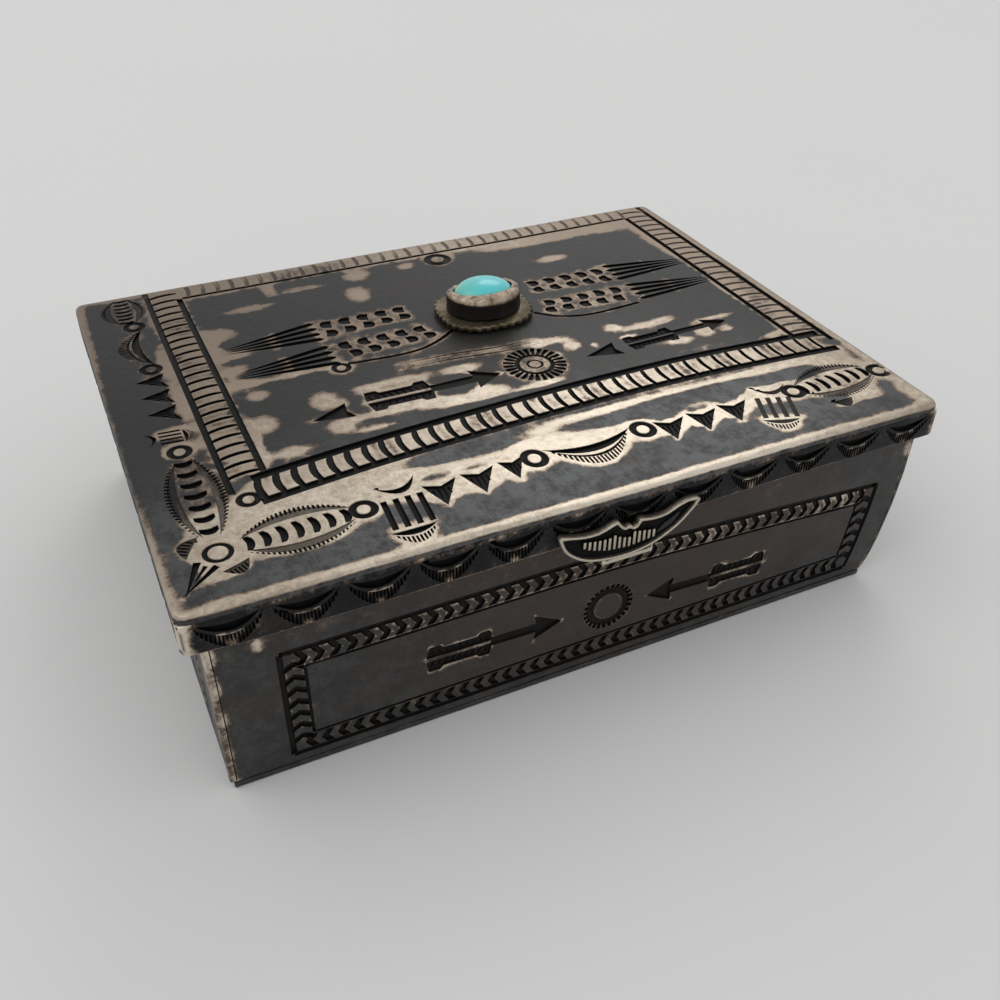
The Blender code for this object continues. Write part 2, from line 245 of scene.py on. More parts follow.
@dataclass(frozen=True)
class DarkenedSilver:
    """Silver with dark patina, black in its recesses and polished where hands rub it."""

    name: str
    patina: Colour = (0.022, 0.0225, 0.023)
    scuffed: Colour = (0.110, 0.114, 0.117)
    brown: Colour = (0.046, 0.033, 0.026)
    fringe: Colour = (0.165, 0.118, 0.085)
    bright: Colour = (0.690, 0.612, 0.505)
    bright_dull: Colour = (0.350, 0.292, 0.226)
    oxide: Colour = (0.0075, 0.0070, 0.0070)
    brown_share: float = 0.30
    ragged: float = 0.8
    scuffing: float = 0.15
    # How much more scuffed grey the front shows: partly real scuffing, partly a painted sheen.
    front_scuff_and_sheen: float = 0.0
    # How strong the painted shade is that darkens the metal to the left, far right and back, for a dimmer
    # reflection there.
    painted_dimming: float = 0.0
    specular: float = 0.5

    def painted_dimming_mask(self, graph: Graph) -> Wire:
        """Return the painted shade on the metal: darker to the left, to the far right and to the back, where
        its reflection is dimmer.

        Args:
            graph: the finish's node tree.

        Returns:
            The painted shade's strength, about 0 to 1.6.
        """
        right = graph.along("X")
        deep = graph.along("Y")
        left = (right * -1.0).step(-0.020, 0.052)
        far = right.step(0.012, 0.056)
        back = deep.step(-0.030, 0.032)
        return (left * 0.62 + far * 0.70 + back * 0.85 + graph.clouds(14.0, 2.0) * 0.35) * self.painted_dimming

    def material(self) -> Finish:
        """Build the finish.

        Returns:
            The finished material.
        """
        graph = Graph(self.name)
        broad = graph.clouds(9.0, 2.0)
        lobes = graph.clouds(3.4, 3.0)
        fine = graph.clouds(1.2, 5.0)
        grain = graph.clouds(0.42, 4.0)
        speck = graph.clouds(0.13, 2.0)
        # Painted shade: the metal darkens to the left, far right and back, standing in for a dimmer
        # reflection there.
        painted_dimming = self.painted_dimming_mask(graph)
        ragged = (broad * 0.4 + lobes * 0.6 + fine * 0.85 + grain * 0.5) * self.ragged
        worn = graph.attribute("gleam") + ragged
        polish = worn.step(0.34, 0.62)
        full = worn.step(0.46, 0.86)
        scratches = graph.clouds(0.5, 3.0, (1.0, 0.22, 1.0), 24.0)
        # Scuffed grey towards the front: partly real scuffs, partly a painted sheen for the brighter
        # reflection there.
        front = (graph.along("Y") * -1.0).step(0.006, 0.026) * self.front_scuff_and_sheen + self.scuffing
        cloudy = (lobes * 1.3 + fine * 1.2 + grain * 0.9 + scratches * 0.5 + front * 0.45).step(-0.05, 0.62)
        dusty = speck.step(0.06, 0.30) * 0.5
        hollow = graph.attribute("sink").step(0.015, 0.15)

        ground = graph.mix(self.patina, self.scuffed, (cloudy + dusty) * front)
        brown = (broad - fine * 0.5).step(-0.02, 0.30) * self.brown_share + graph.attribute("stain")
        ground = graph.mix(ground, self.brown, brown + grain * brown)
        # Painted shade: where the painted dimming is strong, the patina takes the oxide colour and the
        # bright metal turns brown.
        ground = graph.mix(ground, self.oxide, painted_dimming.step(0.2, 1.0) * 0.85)
        mottle = (fine * 1.2 + grain * 0.7 + speck * 0.6 + broad * 0.6 + painted_dimming * 0.8).step(-0.12, 0.85)
        metal = graph.mix(self.bright, self.bright_dull, mottle)
        metal = graph.mix(metal, self.fringe, painted_dimming.step(0.1, 1.6) * 0.75)
        metal = graph.mix(self.fringe, metal, full)
        surface = graph.mix(ground, metal, polish)
        dust = (speck + grain * 0.5).step(0.22, 0.42) * 0.6 * front
        colour = graph.mix(surface, graph.mix(self.oxide, self.scuffed, dust), hollow)
        clear = 1.0 - hollow
        graph.feed(
            Base_Color=colour,
            Metallic=0.35 + polish * clear * 0.6 + hollow * 0.55,
            Roughness=0.46 - polish * 0.06 + grain * 0.16 + fine * 0.10 + hollow * 0.12,
            Specular_IOR_Level=self.specular,
            Normal=graph.bump(grain * 0.8 + speck * 0.4 + scratches * 0.3 + fine * 0.7 + 0.5, 0.05, 0.9),
        )
        return graph.material


@dataclass(frozen=True)
class PlainSilver:
    """Rubbed silver without stamps, brighter where its noise says that it is worn."""

    name: str
    bright: Colour = (0.780, 0.690, 0.580)
    dark: Colour = (0.120, 0.100, 0.082)
    worn: float = 0.5
    roughness: float = 0.30

    def material(self) -> Finish:
        """Build the finish.

        Returns:
            The finished material.
        """
        graph = Graph(self.name)
        broad = graph.clouds(3.5, 3.0)
        grain = graph.clouds(0.25, 3.0)
        scratches = graph.clouds(0.35, 2.0, (0.12, 1.0, 1.0), 12.0)
        rubbed = (broad + grain * 0.5 + self.worn).step(0.30, 0.70)
        graph.feed(
            Base_Color=graph.mix(self.dark, self.bright, rubbed),
            Metallic=1.0,
            Roughness=self.roughness + 0.12 - rubbed * 0.12 + grain * 0.1,
            Normal=graph.bump(grain * 0.6 + scratches * 0.4 + 0.5, 0.02, 0.6),
        )
        return graph.material


@dataclass(frozen=True)
class PolishedTurquoise:
    """A polished turquoise cabochon, greener at one end, with faint clouds."""

    name: str
    blue: Colour = (0.065, 0.520, 0.560)
    green: Colour = (0.110, 0.440, 0.300)
    pale: Colour = (0.220, 0.660, 0.640)

    def material(self) -> Finish:
        """Build the finish.

        Returns:
            The finished material.
        """
        graph = Graph(self.name)
        along = graph.along("X")
        broad = graph.clouds(3.0, 2.0)
        veil = graph.clouds(0.9, 3.0)
        greener = (broad * 0.004 + along * -1.0).step(-0.0052, -0.0012)
        colour = graph.mix(self.blue, self.green, greener * 0.75)
        colour = graph.mix(colour, self.pale, (veil + broad).step(0.0, 0.5) * 0.55)
        graph.feed(
            Base_Color=colour,
            Roughness=0.30 + veil * 0.10,
            Normal=graph.bump(veil + 0.5, 0.02, 0.3),
            Coat_Weight=0.35,
            Coat_Roughness=0.12,
        )
        return graph.material


class Bench:
    """Modelling moves that the pieces share, each on one object at a time."""

    @staticmethod
    def only(item: Piece) -> Piece:
        """Select one object alone and make it active."""
        bpy.ops.object.select_all(action="DESELECT")
        item.select_set(True)
        bpy.context.view_layer.objects.active = item
        return item

    @staticmethod
    def latest(name: str) -> Piece:
        """Name the primitive that was just added and return it."""
        item = bpy.context.view_layer.objects.active
        item.name = name
        item.data.name = name
        return item

    @staticmethod
    def add(name: str, primitive: Callable, **options: object) -> Piece:
        """Deselect everything, add a primitive and name it."""
        bpy.ops.object.select_all(action="DESELECT")
        primitive(**options)
        return Bench.latest(name)

    @staticmethod
    def prism(name: str, foot: list[Point], low: float, top: list[Point], high: float) -> Piece:
        """Model an upright prism from a cylinder whose two ends take outlines.

        Args:
            name: the prism's name.
            foot: the outline of its lower end.
            low: the height of its lower end.
            top: the outline of its upper end, with as many points.
            high: the height of its upper end.

        Returns:
            The prism.
        """
        item = Bench.add(name, bpy.ops.mesh.primitive_cylinder_add, vertices=len(top), radius=1, depth=2)
        for index, (below, above) in enumerate(zip(foot, top)):
            item.data.vertices[2 * index].co = (*below, low)
            item.data.vertices[2 * index + 1].co = (*above, high)
        Bench.tidy_normals(item)
        return item

    @staticmethod
    def to_metres(item: Piece, foot: Vector, angle: float) -> Piece:
        """Move a piece to its foot, turn its millimetres into metres and shade it smooth.

        Args:
            item: the piece, in millimetres.
            foot: where its foot stands, in millimetres.
            angle: the angle in degrees above which an edge stays sharp.

        Returns:
            The piece.
        """
        item.data.transform(Matrix.Scale(MM, 4) @ Matrix.Translation(foot))
        Bench.smooth(item, angle)
        return item

    @staticmethod
    def edit(item: Piece, kind: str, test: Callable, operator: Callable, **options: object) -> None:
        """Run an operator in edit mode on the faces or edges that pass a test.

        Args:
            item: the object to edit.
            kind: FACE or EDGE.
            test: says of each face or edge whether it is wanted.
            operator: the operator.
            options: the operator's options.
        """
        Bench.only(item)
        bpy.ops.object.mode_set(mode="EDIT")
        bpy.ops.mesh.select_mode(type=kind)
        bpy.ops.mesh.select_all(action="DESELECT")
        bpy.ops.object.mode_set(mode="OBJECT")
        for part in item.data.polygons if kind == "FACE" else item.data.edges:
            part.select = bool(test(part))
        bpy.ops.object.mode_set(mode="EDIT")
        operator(**options)
        bpy.ops.object.mode_set(mode="OBJECT")

    @staticmethod
    def tidy_normals(item: Piece) -> None:
        """Turn all faces outwards."""
        Bench.edit(item, "FACE", lambda part: True, bpy.ops.mesh.normals_make_consistent, inside=False)

    @staticmethod
    def number(item: Piece, name: str) -> bpy.types.Attribute:
        """Add a number that is stored on each of a piece's points."""
        return item.data.attributes.new(name, "FLOAT", "POINT")

    @staticmethod
    def apply(item: Piece, modifier: bpy.types.Modifier) -> None:
        """Apply one modifier."""
        Bench.only(item)
        bpy.ops.object.modifier_apply(modifier=modifier.name)

    @staticmethod
    def join(items: list[Piece], name: str) -> Piece:
        """Join objects into one.

        Args:
            items: the objects, which become one.
            name: the joined object's name.

        Returns:
            The joined object.
        """
        bpy.ops.object.select_all(action="DESELECT")
        for item in items:
            item.select_set(True)
        bpy.context.view_layer.objects.active = items[0]
        if len(items) > 1:
            bpy.ops.object.join()
        return Bench.latest(name)

    @staticmethod
    def combine(item: Piece, other: Piece, operation: str, crossing: bool = False) -> None:
        """Cut another object out of a piece or weld it on, and delete that other object.

        Args:
            item: the piece.
            other: the cutter or the added shape.
            operation: DIFFERENCE or UNION.
            crossing: whether the other object's own shapes cross each other.
        """
        modifier = item.modifiers.new("shape", "BOOLEAN")
        modifier.operation = operation
        modifier.solver = "EXACT"
        modifier.use_self = crossing
        modifier.object = other
        Bench.apply(item, modifier)
        bpy.data.objects.remove(other, do_unlink=True)

    @staticmethod
    def soften(item: Piece, width: float, segments: int = 2, angle: float = 40.0) -> None:
        """Round a piece's sharp edges with a bevel that is applied.

        Args:
            item: the piece.
            width: how wide the bevel is.
            segments: how many faces round it.
            angle: the angle in degrees above which an edge is rounded.
        """
        modifier = item.modifiers.new("soft_edges", "BEVEL")
        modifier.width = width
        modifier.segments = segments
        modifier.limit_method = "ANGLE"
        modifier.angle_limit = math.radians(angle)
        Bench.apply(item, modifier)

    @staticmethod
    def smooth(item: Piece, angle: float = 34.0) -> None:
        """Shade a piece smooth, with edges sharper than an angle kept."""
        Bench.only(item)
        bpy.ops.object.shade_smooth_by_angle(angle=math.radians(angle))

    @staticmethod
    def block(name: str, low: Vector, high: Vector) -> Piece:
        """Add a box between two corners.

        Args:
            name: the box's name.
            low: its lowest corner.
            high: its highest corner.

        Returns:
            The box.
        """
        item = Bench.add(name, bpy.ops.mesh.primitive_cube_add, size=1, location=(low + high) / 2,
                         scale=high - low)
        bpy.ops.object.transform_apply(location=True, rotation=True, scale=True)
        return item


# How outlines are drawn in: a crescent's tips are pulled back more than its flanks, round and thin
# ends keep a share of the width, no stroke gets thinner than a hair, and sharp corners hold back.
TIP_PULL = 1.6
ROUND_END = 0.66
THIN_END = 0.25
THINNEST = 0.02
SHARPEST = 0.45


def crescent(half: float, top: float, low: float, inset: float, steps: int = 9) -> list[Point]:
    """Return a lens between two arcs that hang from the same two tips.

    Args:
        half: half the distance between the tips.
        top: how far the upper arc hangs in the middle.
        low: how far the lower arc hangs in the middle.
        inset: how far the outline is drawn in.
        steps: how many stretches each arc has.

    Returns:
        The outline, anticlockwise.
    """
    reach = half - TIP_PULL * inset
    shares = [2 * step / steps - 1 for step in range(steps + 1)]
    lower = [(reach * share, -(low - inset) * (1 - share ** 2)) for share in shares]
    upper = [(reach * share, -(top + inset) * (1 - share ** 2)) for share in reversed(shares[1:-1])]
    return lower + upper


def bar(length: float, width: float, bend: float, inset: float, steps: int = 5) -> list[Point]:
    """Return a short upright stroke, bent to the left in its middle, with round ends.

    Args:
        length: the stroke's length.
        width: its width in the middle.
        bend: how far its middle is bent to the left.
        inset: how far the outline is drawn in.
        steps: how many stretches each side has.

    Returns:
        The outline, anticlockwise.
    """
    half = length / 2 - inset
    thin = max(width / 2 - inset, THINNEST)
    right = []
    left = []
    for step in range(steps + 1):
        share = 2 * step / steps - 1
        middle = -bend * (1 - share ** 2)
        spread = thin * (ROUND_END + (1 - ROUND_END) * math.sqrt(1 - share ** 4))
        right.append((middle + spread, half * share))
        left.append((middle - spread, half * share))
    return right + list(reversed(left))


def polygon(points: Iterable[Point], inset: float) -> list[Point]:
    """Return a convex or nearly convex outline whose sides are all moved in by inset.

    Args:
        points: the corners, anticlockwise.
        inset: how far the sides are moved in.

    Returns:
        The smaller outline.
    """
    corners = list(points)
    moved = []
    for index, corner in enumerate(corners):
        before = Vector(corners[index - 1])
        here = Vector(corner)
        after = Vector(corners[(index + 1) % len(corners)])
        first = (here - before).normalized()
        second = (after - here).normalized()
        normal_1 = Vector((-first.y, first.x))
        normal_2 = Vector((-second.y, second.x))
        bisector = normal_1 + normal_2
        scale = 1 / max(bisector.dot(normal_1), SHARPEST)
        moved.append(tuple(here + bisector * (inset * scale)))
    return moved


def stroke(path: list[Point], width: float, inset: float, pointed: bool = True) -> list[Point]:
    """Return the outline of a groove along a path.

    Args:
        path: the groove's middle line.
        width: its width in the middle.
        inset: how far the outline is drawn in.
        pointed: whether the groove thins out at its ends.

    Returns:
        The outline, anticlockwise.
    """
    right = []
    left = []
    count = len(path) - 1
    for index, spot in enumerate(path):
        ahead = Vector(path[min(index + 1, count)]) - Vector(path[max(index - 1, 0)])
        side = Vector((ahead.y, -ahead.x)).normalized()
        share = math.sin(math.pi * index / count) if pointed else 1.0
        spread = max(width / 2 * (THIN_END + (1 - THIN_END) * share) - inset, THINNEST)
        right.append(tuple(Vector(spot) + side * spread))
        left.append(tuple(Vector(spot) - side * spread))
    return right + list(reversed(left))


def curve_through(points: list[Point], steps: int = 6) -> list[Point]:
    """Return a smooth path through a few points.

    Args:
        points: the points to pass.
        steps: how many stretches lie between two of them.

    Returns:
        The path.
    """
    spots = [Vector(point) for point in points]
    path = []
    for index in range(len(spots) - 1):
        before = spots[max(index - 1, 0)]
        start = spots[index]
        end = spots[index + 1]
        after = spots[min(index + 2, len(spots) - 1)]
        for step in range(steps):
            t = step / steps
            blend = (2 * start + (end - before) * t + (2 * before - 5 * start + 4 * end - after) * t ** 2
                     + (3 * start - before - 3 * end + after) * t ** 3) / 2
            path.append(tuple(blend))
    path.append(tuple(spots[-1]))
    return path


def height_at(path: Iterable[Point], right: float) -> float:
    """Return a path's height at a place along it.

    Args:
        path: the path, from left to right.
        right: the place.

    Returns:
        The height.
    """
    spots = list(path)
    for start, end in zip(spots, spots[1:]):
        if right <= end[0]:
            share = (right - start[0]) / (end[0] - start[0])
            return start[1] + max(share, 0) * (end[1] - start[1])
    return spots[-1][1]


def beside(path: list[Point], gap: float, reach: float) -> Path:
    """Return a path moved to its left by a gap, and drawn out by reach at both ends.

    Args:
        path: the path.
        gap: how far it is moved.
        reach: how far its ends are drawn out.

    Returns:
        The moved path.
    """
    spots = [Vector(point) for point in path]
    spots[0] -= (spots[1] - spots[0]).normalized() * reach
    spots[-1] += (spots[-1] - spots[-2]).normalized() * reach
    moved = []
    for index, spot in enumerate(spots):
        ahead = (spots[min(index + 1, len(spots) - 1)] - spots[max(index - 1, 0)]).normalized()
        moved.append(tuple(spot + Vector((-ahead.y, ahead.x)) * gap))
    return tuple(moved)


def lens(half: float, top: float, low: float, taper: float = 1.0, steps: int = 9) -> Section:
    """Return a crescent's outline function, drawn in by a share of each inset."""
    return lambda inset: crescent(half, top, low, inset * taper, steps)


def plate_of(*corners: Point, taper: float = 1.0) -> Section:
    """Return a polygon's outline function, drawn in by a share of each inset."""
    return lambda inset: polygon(corners, inset * taper)


def rod(length: float, width: float, bend: float = 0.0, taper: float = 1.0, steps: int = 5) -> Section:
    """Return a bar's outline function, drawn in by a share of each inset."""
    return lambda inset: bar(length, width, bend, inset * taper, steps)


def shifted(section: Section, right: float, up: float, turn: float = 0.0) -> Section:
    """Return an outline function that is turned by some degrees and then moved.

    Args:
        section: the outline function.
        right: how far it is moved right.
        up: how far it is moved up.
        turn: how far it is turned, in degrees.

    Returns:
        The moved outline function.
    """
    cosine = math.cos(math.radians(turn))
    sine = math.sin(math.radians(turn))

    def moved(inset: float) -> list[Point]:
        """Return the moved outline."""
        return [(x * cosine - y * sine + right, x * sine + y * cosine + up)
                for x, y in section(inset)]

    return moved


@dataclass(frozen=True)
class Cut:
    """One closed cutter of a stamp: an outline that narrows as it goes down."""

    section: Section
    depth: float
    layer: Layer = Layer.GROUND
    draft: float = 0.10

    def at(self, right: float, up: float, turn: float = 0.0) -> "Cut":
        """Return the same cutter, turned by some degrees and then moved."""
        return replace(self, section=shifted(self.section, right, up, turn))


@dataclass(frozen=True)
class RoundCut:
    """A ring-shaped cutter with a round bottom."""

    radius: float
    width: float
    depth: float
    centre: Point = (0.0, 0.0)
    layer: Layer = Layer.DETAIL


def arc_teeth(half: float, top: float, low: float, count: int, depth: float, fill: float = 0.72,
              splay: float = 1.0) -> list[Cut]:
    """Return a row of wedge-shaped teeth between two hanging arcs.

    Args:
        half: half the arcs' span.
        top: how far the upper arc hangs.
        low: how far the lower arc hangs.
        count: how many teeth.
        depth: how deep they are struck.
        fill: the share of the row that the teeth take.
        splay: how much wider the row is at the lower arc.

    Returns:
        The teeth as cutters.
    """
    teeth = []
    for index in range(1, count - 1):
        start = 2 * (index + (1 - fill) / 2) / count - 1
        end = 2 * (index + (1 + fill) / 2) / count - 1
        corners = [(reach * share, -hang * (1 - share ** 2)) for reach, hang, share in (
            (half * splay, low, start), (half * splay, low, end), (half, top, end), (half, top, start))]
        teeth.append(Cut(plate_of(*corners), depth, Layer.DETAIL, 0.05))
    return teeth


def spokes(inner: float, outer: float, count: int, depth: float, fill: float = 0.70) -> list[Cut]:
    """Return a ring of radial teeth between two radii, as cutters.

    Args:
        inner: the ring's inner radius.
        outer: its outer radius.
        count: how many teeth.
        depth: how deep they are struck.
        fill: the share of the ring that the teeth take.

    Returns:
        The teeth.
    """
    half = math.pi * fill / count
    teeth = []
    for index in range(count):
        middle = math.tau * index / count
        corners = [(radius * math.cos(angle), radius * math.sin(angle)) for radius, angle in (
            (inner, middle - half), (outer, middle - half), (outer, middle + half), (inner, middle + half))]
        teeth.append(Cut(plate_of(*corners), depth, Layer.DETAIL, 0.06))
    return teeth


class Stamp(Enum):
    """The stamps that the ornament is struck with."""

    ROPE_BAR = "rope_bar"
    SMALL_RING = "small_ring"
    CORNER_RING = "corner_ring"
    LEAF = "leaf"
    PILLAR = "pillar"
    TOOTH = "tooth"
    LASH = "lash"
    SMILE = "smile"
    CHEVRON = "chevron"
    ARROW = "arrow"
    ARROWHEAD = "arrowhead"
    ROSETTE = "rosette"
    WALL_RING = "wall_ring"
    WEDGE = "wedge"
    FAN = "fan"
    FEATHER = "feather"
    QUILL = "quill"


def leaf() -> list[Cut]:
    """Return a leaf: two dished halves, teeth around them and a row of veins.

    Returns:
        The cutters.
    """
    cuts = [Cut(lens(6.7, 1.05, 2.6), 0.11).at(0, 1.1, 180), Cut(lens(6.5, 1.2, 2.75), 0.11).at(0, -1.0)]
    for tooth in arc_teeth(6.7, 2.05, 2.95, 25, 0.30, 0.60):
        cuts += [tooth.at(0, 1.1, 180), tooth.at(0, -1.15)]
    for away in range(-3, 4):
        vein = Cut(rod(3.2 - 0.10 * abs(away) ** 1.6, 1.0, -0.35), 0.36, Layer.DETAIL)
        cuts.append(vein.at(away * 1.87 - 0.3, 0.0))
    return cuts


def pillar() -> list[Cut]:
    """Return a pillar: a cap, four flutes and a toothed foot.

    Returns:
        The cutters.
    """
    cuts = [Cut(lens(2.75, 1.35, 2.5), 0.36).at(0.6, 6.0, 9)]
    for index in range(4):
        offset = (index - 1.5) * 1.5
        flute = plate_of((offset - 0.42, -2.7), (offset + 0.42, -2.7), (offset + 0.82, 2.9),
                         (offset - 0.02, 2.9))
        cuts.append(Cut(flute, 0.34, Layer.DETAIL))
    cuts.append(Cut(lens(2.85, 0.0, 1.15), 0.34).at(-0.3, -3.1))
    return cuts + [tooth.at(-0.3, -3.1) for tooth in arc_teeth(2.85, 1.35, 2.65, 12, 0.32, 0.70)]


def hanging_tooth() -> list[Cut]:
    """Return a hanging tooth with four hairlines.

    Returns:
        The cutters.
    """
    cuts = [Cut(plate_of((-2.3, 0.1), (-0.65, -4.7), (2.3, 0.2), (0.0, -0.75), taper=0.6), 0.26)]
    for index in range(4):
        away = index - 1.5
        tall = 2.3 - 0.5 * abs(away)
        hair = Cut(rod(tall, 0.34, 0.0, 0.4, 3), 0.40, Layer.DETAIL, 0.05)
        cuts.append(hair.at(away * 0.66 - 0.25, -1.0 - tall / 2, -4))
    return cuts


def arrow() -> list[Cut]:
    """Return an arrow that points right: two fletched vanes, a shaft and a head.

    Returns:
        The cutters.
    """
    vane = ((-9.7, 0.16), (-9.3, 2.1), (-7.7, 2.1), (-7.2, 1.6), (-2.6, 1.6), (-2.1, 2.1), (-0.7, 2.1),
            (-0.2, 0.16))
    barb = Cut(rod(1.1, 0.30, 0.0, 0.4, 3), 0.40, Layer.DETAIL, 0.05)
    cuts = []
    for side in (1, -1):
        corners = [(right, up * side) for right, up in vane][::-side]
        cuts.append(Cut(plate_of(*corners, taper=0.8), 0.28))
        cuts += [barb.at(-8.7 + index * 0.95, 0.98 * side, 24 * side) for index in range(9)]
    shaft = plate_of((-0.6, -0.78), (6.6, -0.78), (6.6, 0.78), (-0.6, 0.78), taper=0.8)
    head = plate_of((5.7, -2.1), (10.1, 0.0), (5.7, 2.1), (6.1, 0.0), taper=0.8)
    return [*cuts, Cut(shaft, 0.24, Layer.DETAIL), Cut(head, 0.34)]


CHEVRON_OUTLINE = ((-0.86, 1.12), (-0.12, 0.0), (-0.86, -1.12), (0.22, -1.12), (0.92, 0.0), (0.22, 1.12))
BLADE_OUTLINE = ((-7.4, 0.0), (0.5, -0.85), (6.9, -0.95), (7.6, -0.2), (6.9, 0.75), (0.5, 0.55))
HEAD_OUTLINE = ((-2.8, -1.7), (2.9, 0.0), (-2.8, 1.7), (-2.2, 0.0))

STAMP_CUTS: dict[Stamp, list[Cut | RoundCut]] = {
    Stamp.ROPE_BAR: [Cut(rod(4.7, 1.06, 0.5), 0.34, Layer.DETAIL)],
    Stamp.SMALL_RING: [RoundCut(1.30, 1.05, 0.36)],
    Stamp.CORNER_RING: [RoundCut(1.44, 0.70, 0.30)],
    Stamp.LEAF: leaf(),
    Stamp.PILLAR: pillar(),
    Stamp.TOOTH: hanging_tooth(),
    Stamp.LASH: [Cut(lens(3.45, 0.42, 1.46), 0.40), Cut(lens(3.95, 1.72, 3.24), 0.10),
                 *arc_teeth(3.80, 1.82, 3.20, 19, 0.34, 0.66, 1.06)],
    Stamp.SMILE: [Cut(lens(6.4, 1.35, 2.95, 1.0, 14), 0.36),
                  *arc_teeth(5.9, 3.95, 5.55, 23, 0.34, 0.66, 1.02),
                  Cut(lens(6.1, 3.42, 3.98, 0.7, 14), 0.28)],
    Stamp.CHEVRON: [Cut(plate_of(*CHEVRON_OUTLINE, taper=0.6), 0.34, Layer.DETAIL)],
    Stamp.ARROW: arrow(),
    Stamp.ARROWHEAD: [Cut(plate_of(*HEAD_OUTLINE, taper=0.8), 0.34)],
    Stamp.ROSETTE: [*spokes(2.75, 4.55, 26, 0.34), RoundCut(2.50, 0.75, 0.34, layer=Layer.GROUND),
                    RoundCut(1.05, 0.45, 0.25)],
    Stamp.WALL_RING: [*spokes(2.9, 3.7, 26, 0.32), RoundCut(2.65, 1.25, 0.32, layer=Layer.GROUND)],
    Stamp.WEDGE: [Cut(plate_of((-0.25, 0.0), (1.55, 6.6), (0.75, 6.9), taper=0.4), 0.30),
                  Cut(plate_of((-1.55, 6.6), (-0.75, 6.9), (0.25, 0.0), taper=0.4), 0.30, Layer.DETAIL),
                  Cut(plate_of((0.0, 2.2), (0.28, 6.4), (-0.28, 6.4), taper=0.3), 0.22, Layer.DETAIL)],
    Stamp.FAN: [Cut(lens(1.75, 0.0, 1.8, 0.6, 6), 0.12), *arc_teeth(1.6, 0.35, 1.6, 7, 0.32, 0.62)],
    Stamp.FEATHER: [Cut(rod(2.3, 1.75, 0.35), 0.30, Layer.DETAIL).at(-0.1, 1.35),
                    Cut(rod(2.2, 1.75, -0.3), 0.30, Layer.DETAIL).at(0.1, -1.35)],
    Stamp.QUILL: [Cut(plate_of(*BLADE_OUTLINE, taper=0.6), 0.30)],
}


@dataclass(frozen=True)
class Strike:
    """One blow of a stamp on a sheet: where, how it is turned, and how it is stretched."""

    stamp: Stamp
    right: float
    up: float
    turn: float = 0.0
    wide: float = 1.0
    tall: float = 1.0
    halo: float = 1.0
    deep: float = 1.0

    def matrix(self) -> Matrix:
        """Return the matrix that takes the stamp's cutters to where they strike."""
        return (Matrix.Translation((self.right, self.up, 0))
                @ Matrix.Rotation(math.radians(self.turn), 4, "Z")
                @ Matrix.Diagonal((self.wide, self.tall, self.deep, 1)))


@dataclass(frozen=True)
class Groove:
    """A line chased into a sheet through a few points."""

    points: Path
    width: float = 0.9
    depth: float = 0.32
    pointed: bool = False
    halo: float = 1.0


@dataclass(frozen=True)
class Patch:
    """A place on a sheet that is rubbed bright or stained, or that stayed dark if shine is negative."""

    right: float
    up: float
    half_width: float
    half_height: float
    shine: float = 1.0

    def level(self, spot: Vector) -> float:
        """Return how strong the patch is at a spot of the sheet."""
        across = ((spot.x - self.right) / self.half_width) ** 2
        along = ((spot.y - self.up) / self.half_height) ** 2
        return self.shine * math.exp(-(across + along) ** 1.5)


Chased = tuple[list[Strike], list[Groove]]


class StampRack:
    """Holds each stamp's cutters, so that each is modelled once."""

    OVERRUN = 0.35
    TORUS_SEGMENTS = 26
    TORUS_SIDES = 8
    RING_LIFT = 0.04

    def __init__(self) -> None:
        """Start with an empty rack."""
        self.ready: dict[Stamp, list[tuple[Layer, Piece]]] = {}

    def cutter(self, name: str, cut: Cut) -> Piece:
        """Model one cutter from a cylinder whose two ends take the cut's outline.

        Args:
            name: the cutter's name.
            cut: its outline, depth and draft.

        Returns:
            The cutter.
        """
        top = cut.section(-cut.draft * self.OVERRUN)
        return Bench.prism(name, cut.section(cut.draft), -cut.depth, top, self.OVERRUN)

    def ring(self, name: str, cut: RoundCut) -> Piece:
        """Model one ring-shaped cutter from a torus.

        Args:
            name: the cutter's name.
            cut: its radius, width and depth.

        Returns:
            The cutter.
        """
        item = Bench.add(name, bpy.ops.mesh.primitive_torus_add, major_radius=cut.radius,
                         minor_radius=cut.width / 2, major_segments=self.TORUS_SEGMENTS,
                         minor_segments=self.TORUS_SIDES)
        bpy.ops.transform.resize(value=(1, 1, 2 * cut.depth / cut.width))
        bpy.ops.object.transform_apply(location=False, rotation=True, scale=True)
        item.data.transform(Matrix.Translation((*cut.centre, self.RING_LIFT)))
        return item

    def get(self, stamp: Stamp) -> list[tuple[Layer, Piece]]:
        """Return a stamp's cutters with their layers, modelled when first asked for.

        Args:
            stamp: the stamp.

        Returns:
            The cutters, each with its layer.
        """
        if stamp not in self.ready:
            made = []
            for index, cut in enumerate(STAMP_CUTS[stamp]):
                name = f"cutter_{stamp.value}_{index}"
                maker = self.ring if isinstance(cut, RoundCut) else self.cutter
                made.append((cut.layer, maker(name, cut)))
            self.ready[stamp] = made
        return self.ready[stamp]

    def clear(self) -> None:
        """Delete all the cutters."""
        for cutters in self.ready.values():
            for _, item in cutters:
                bpy.data.objects.remove(item, do_unlink=True)
        self.ready.clear()


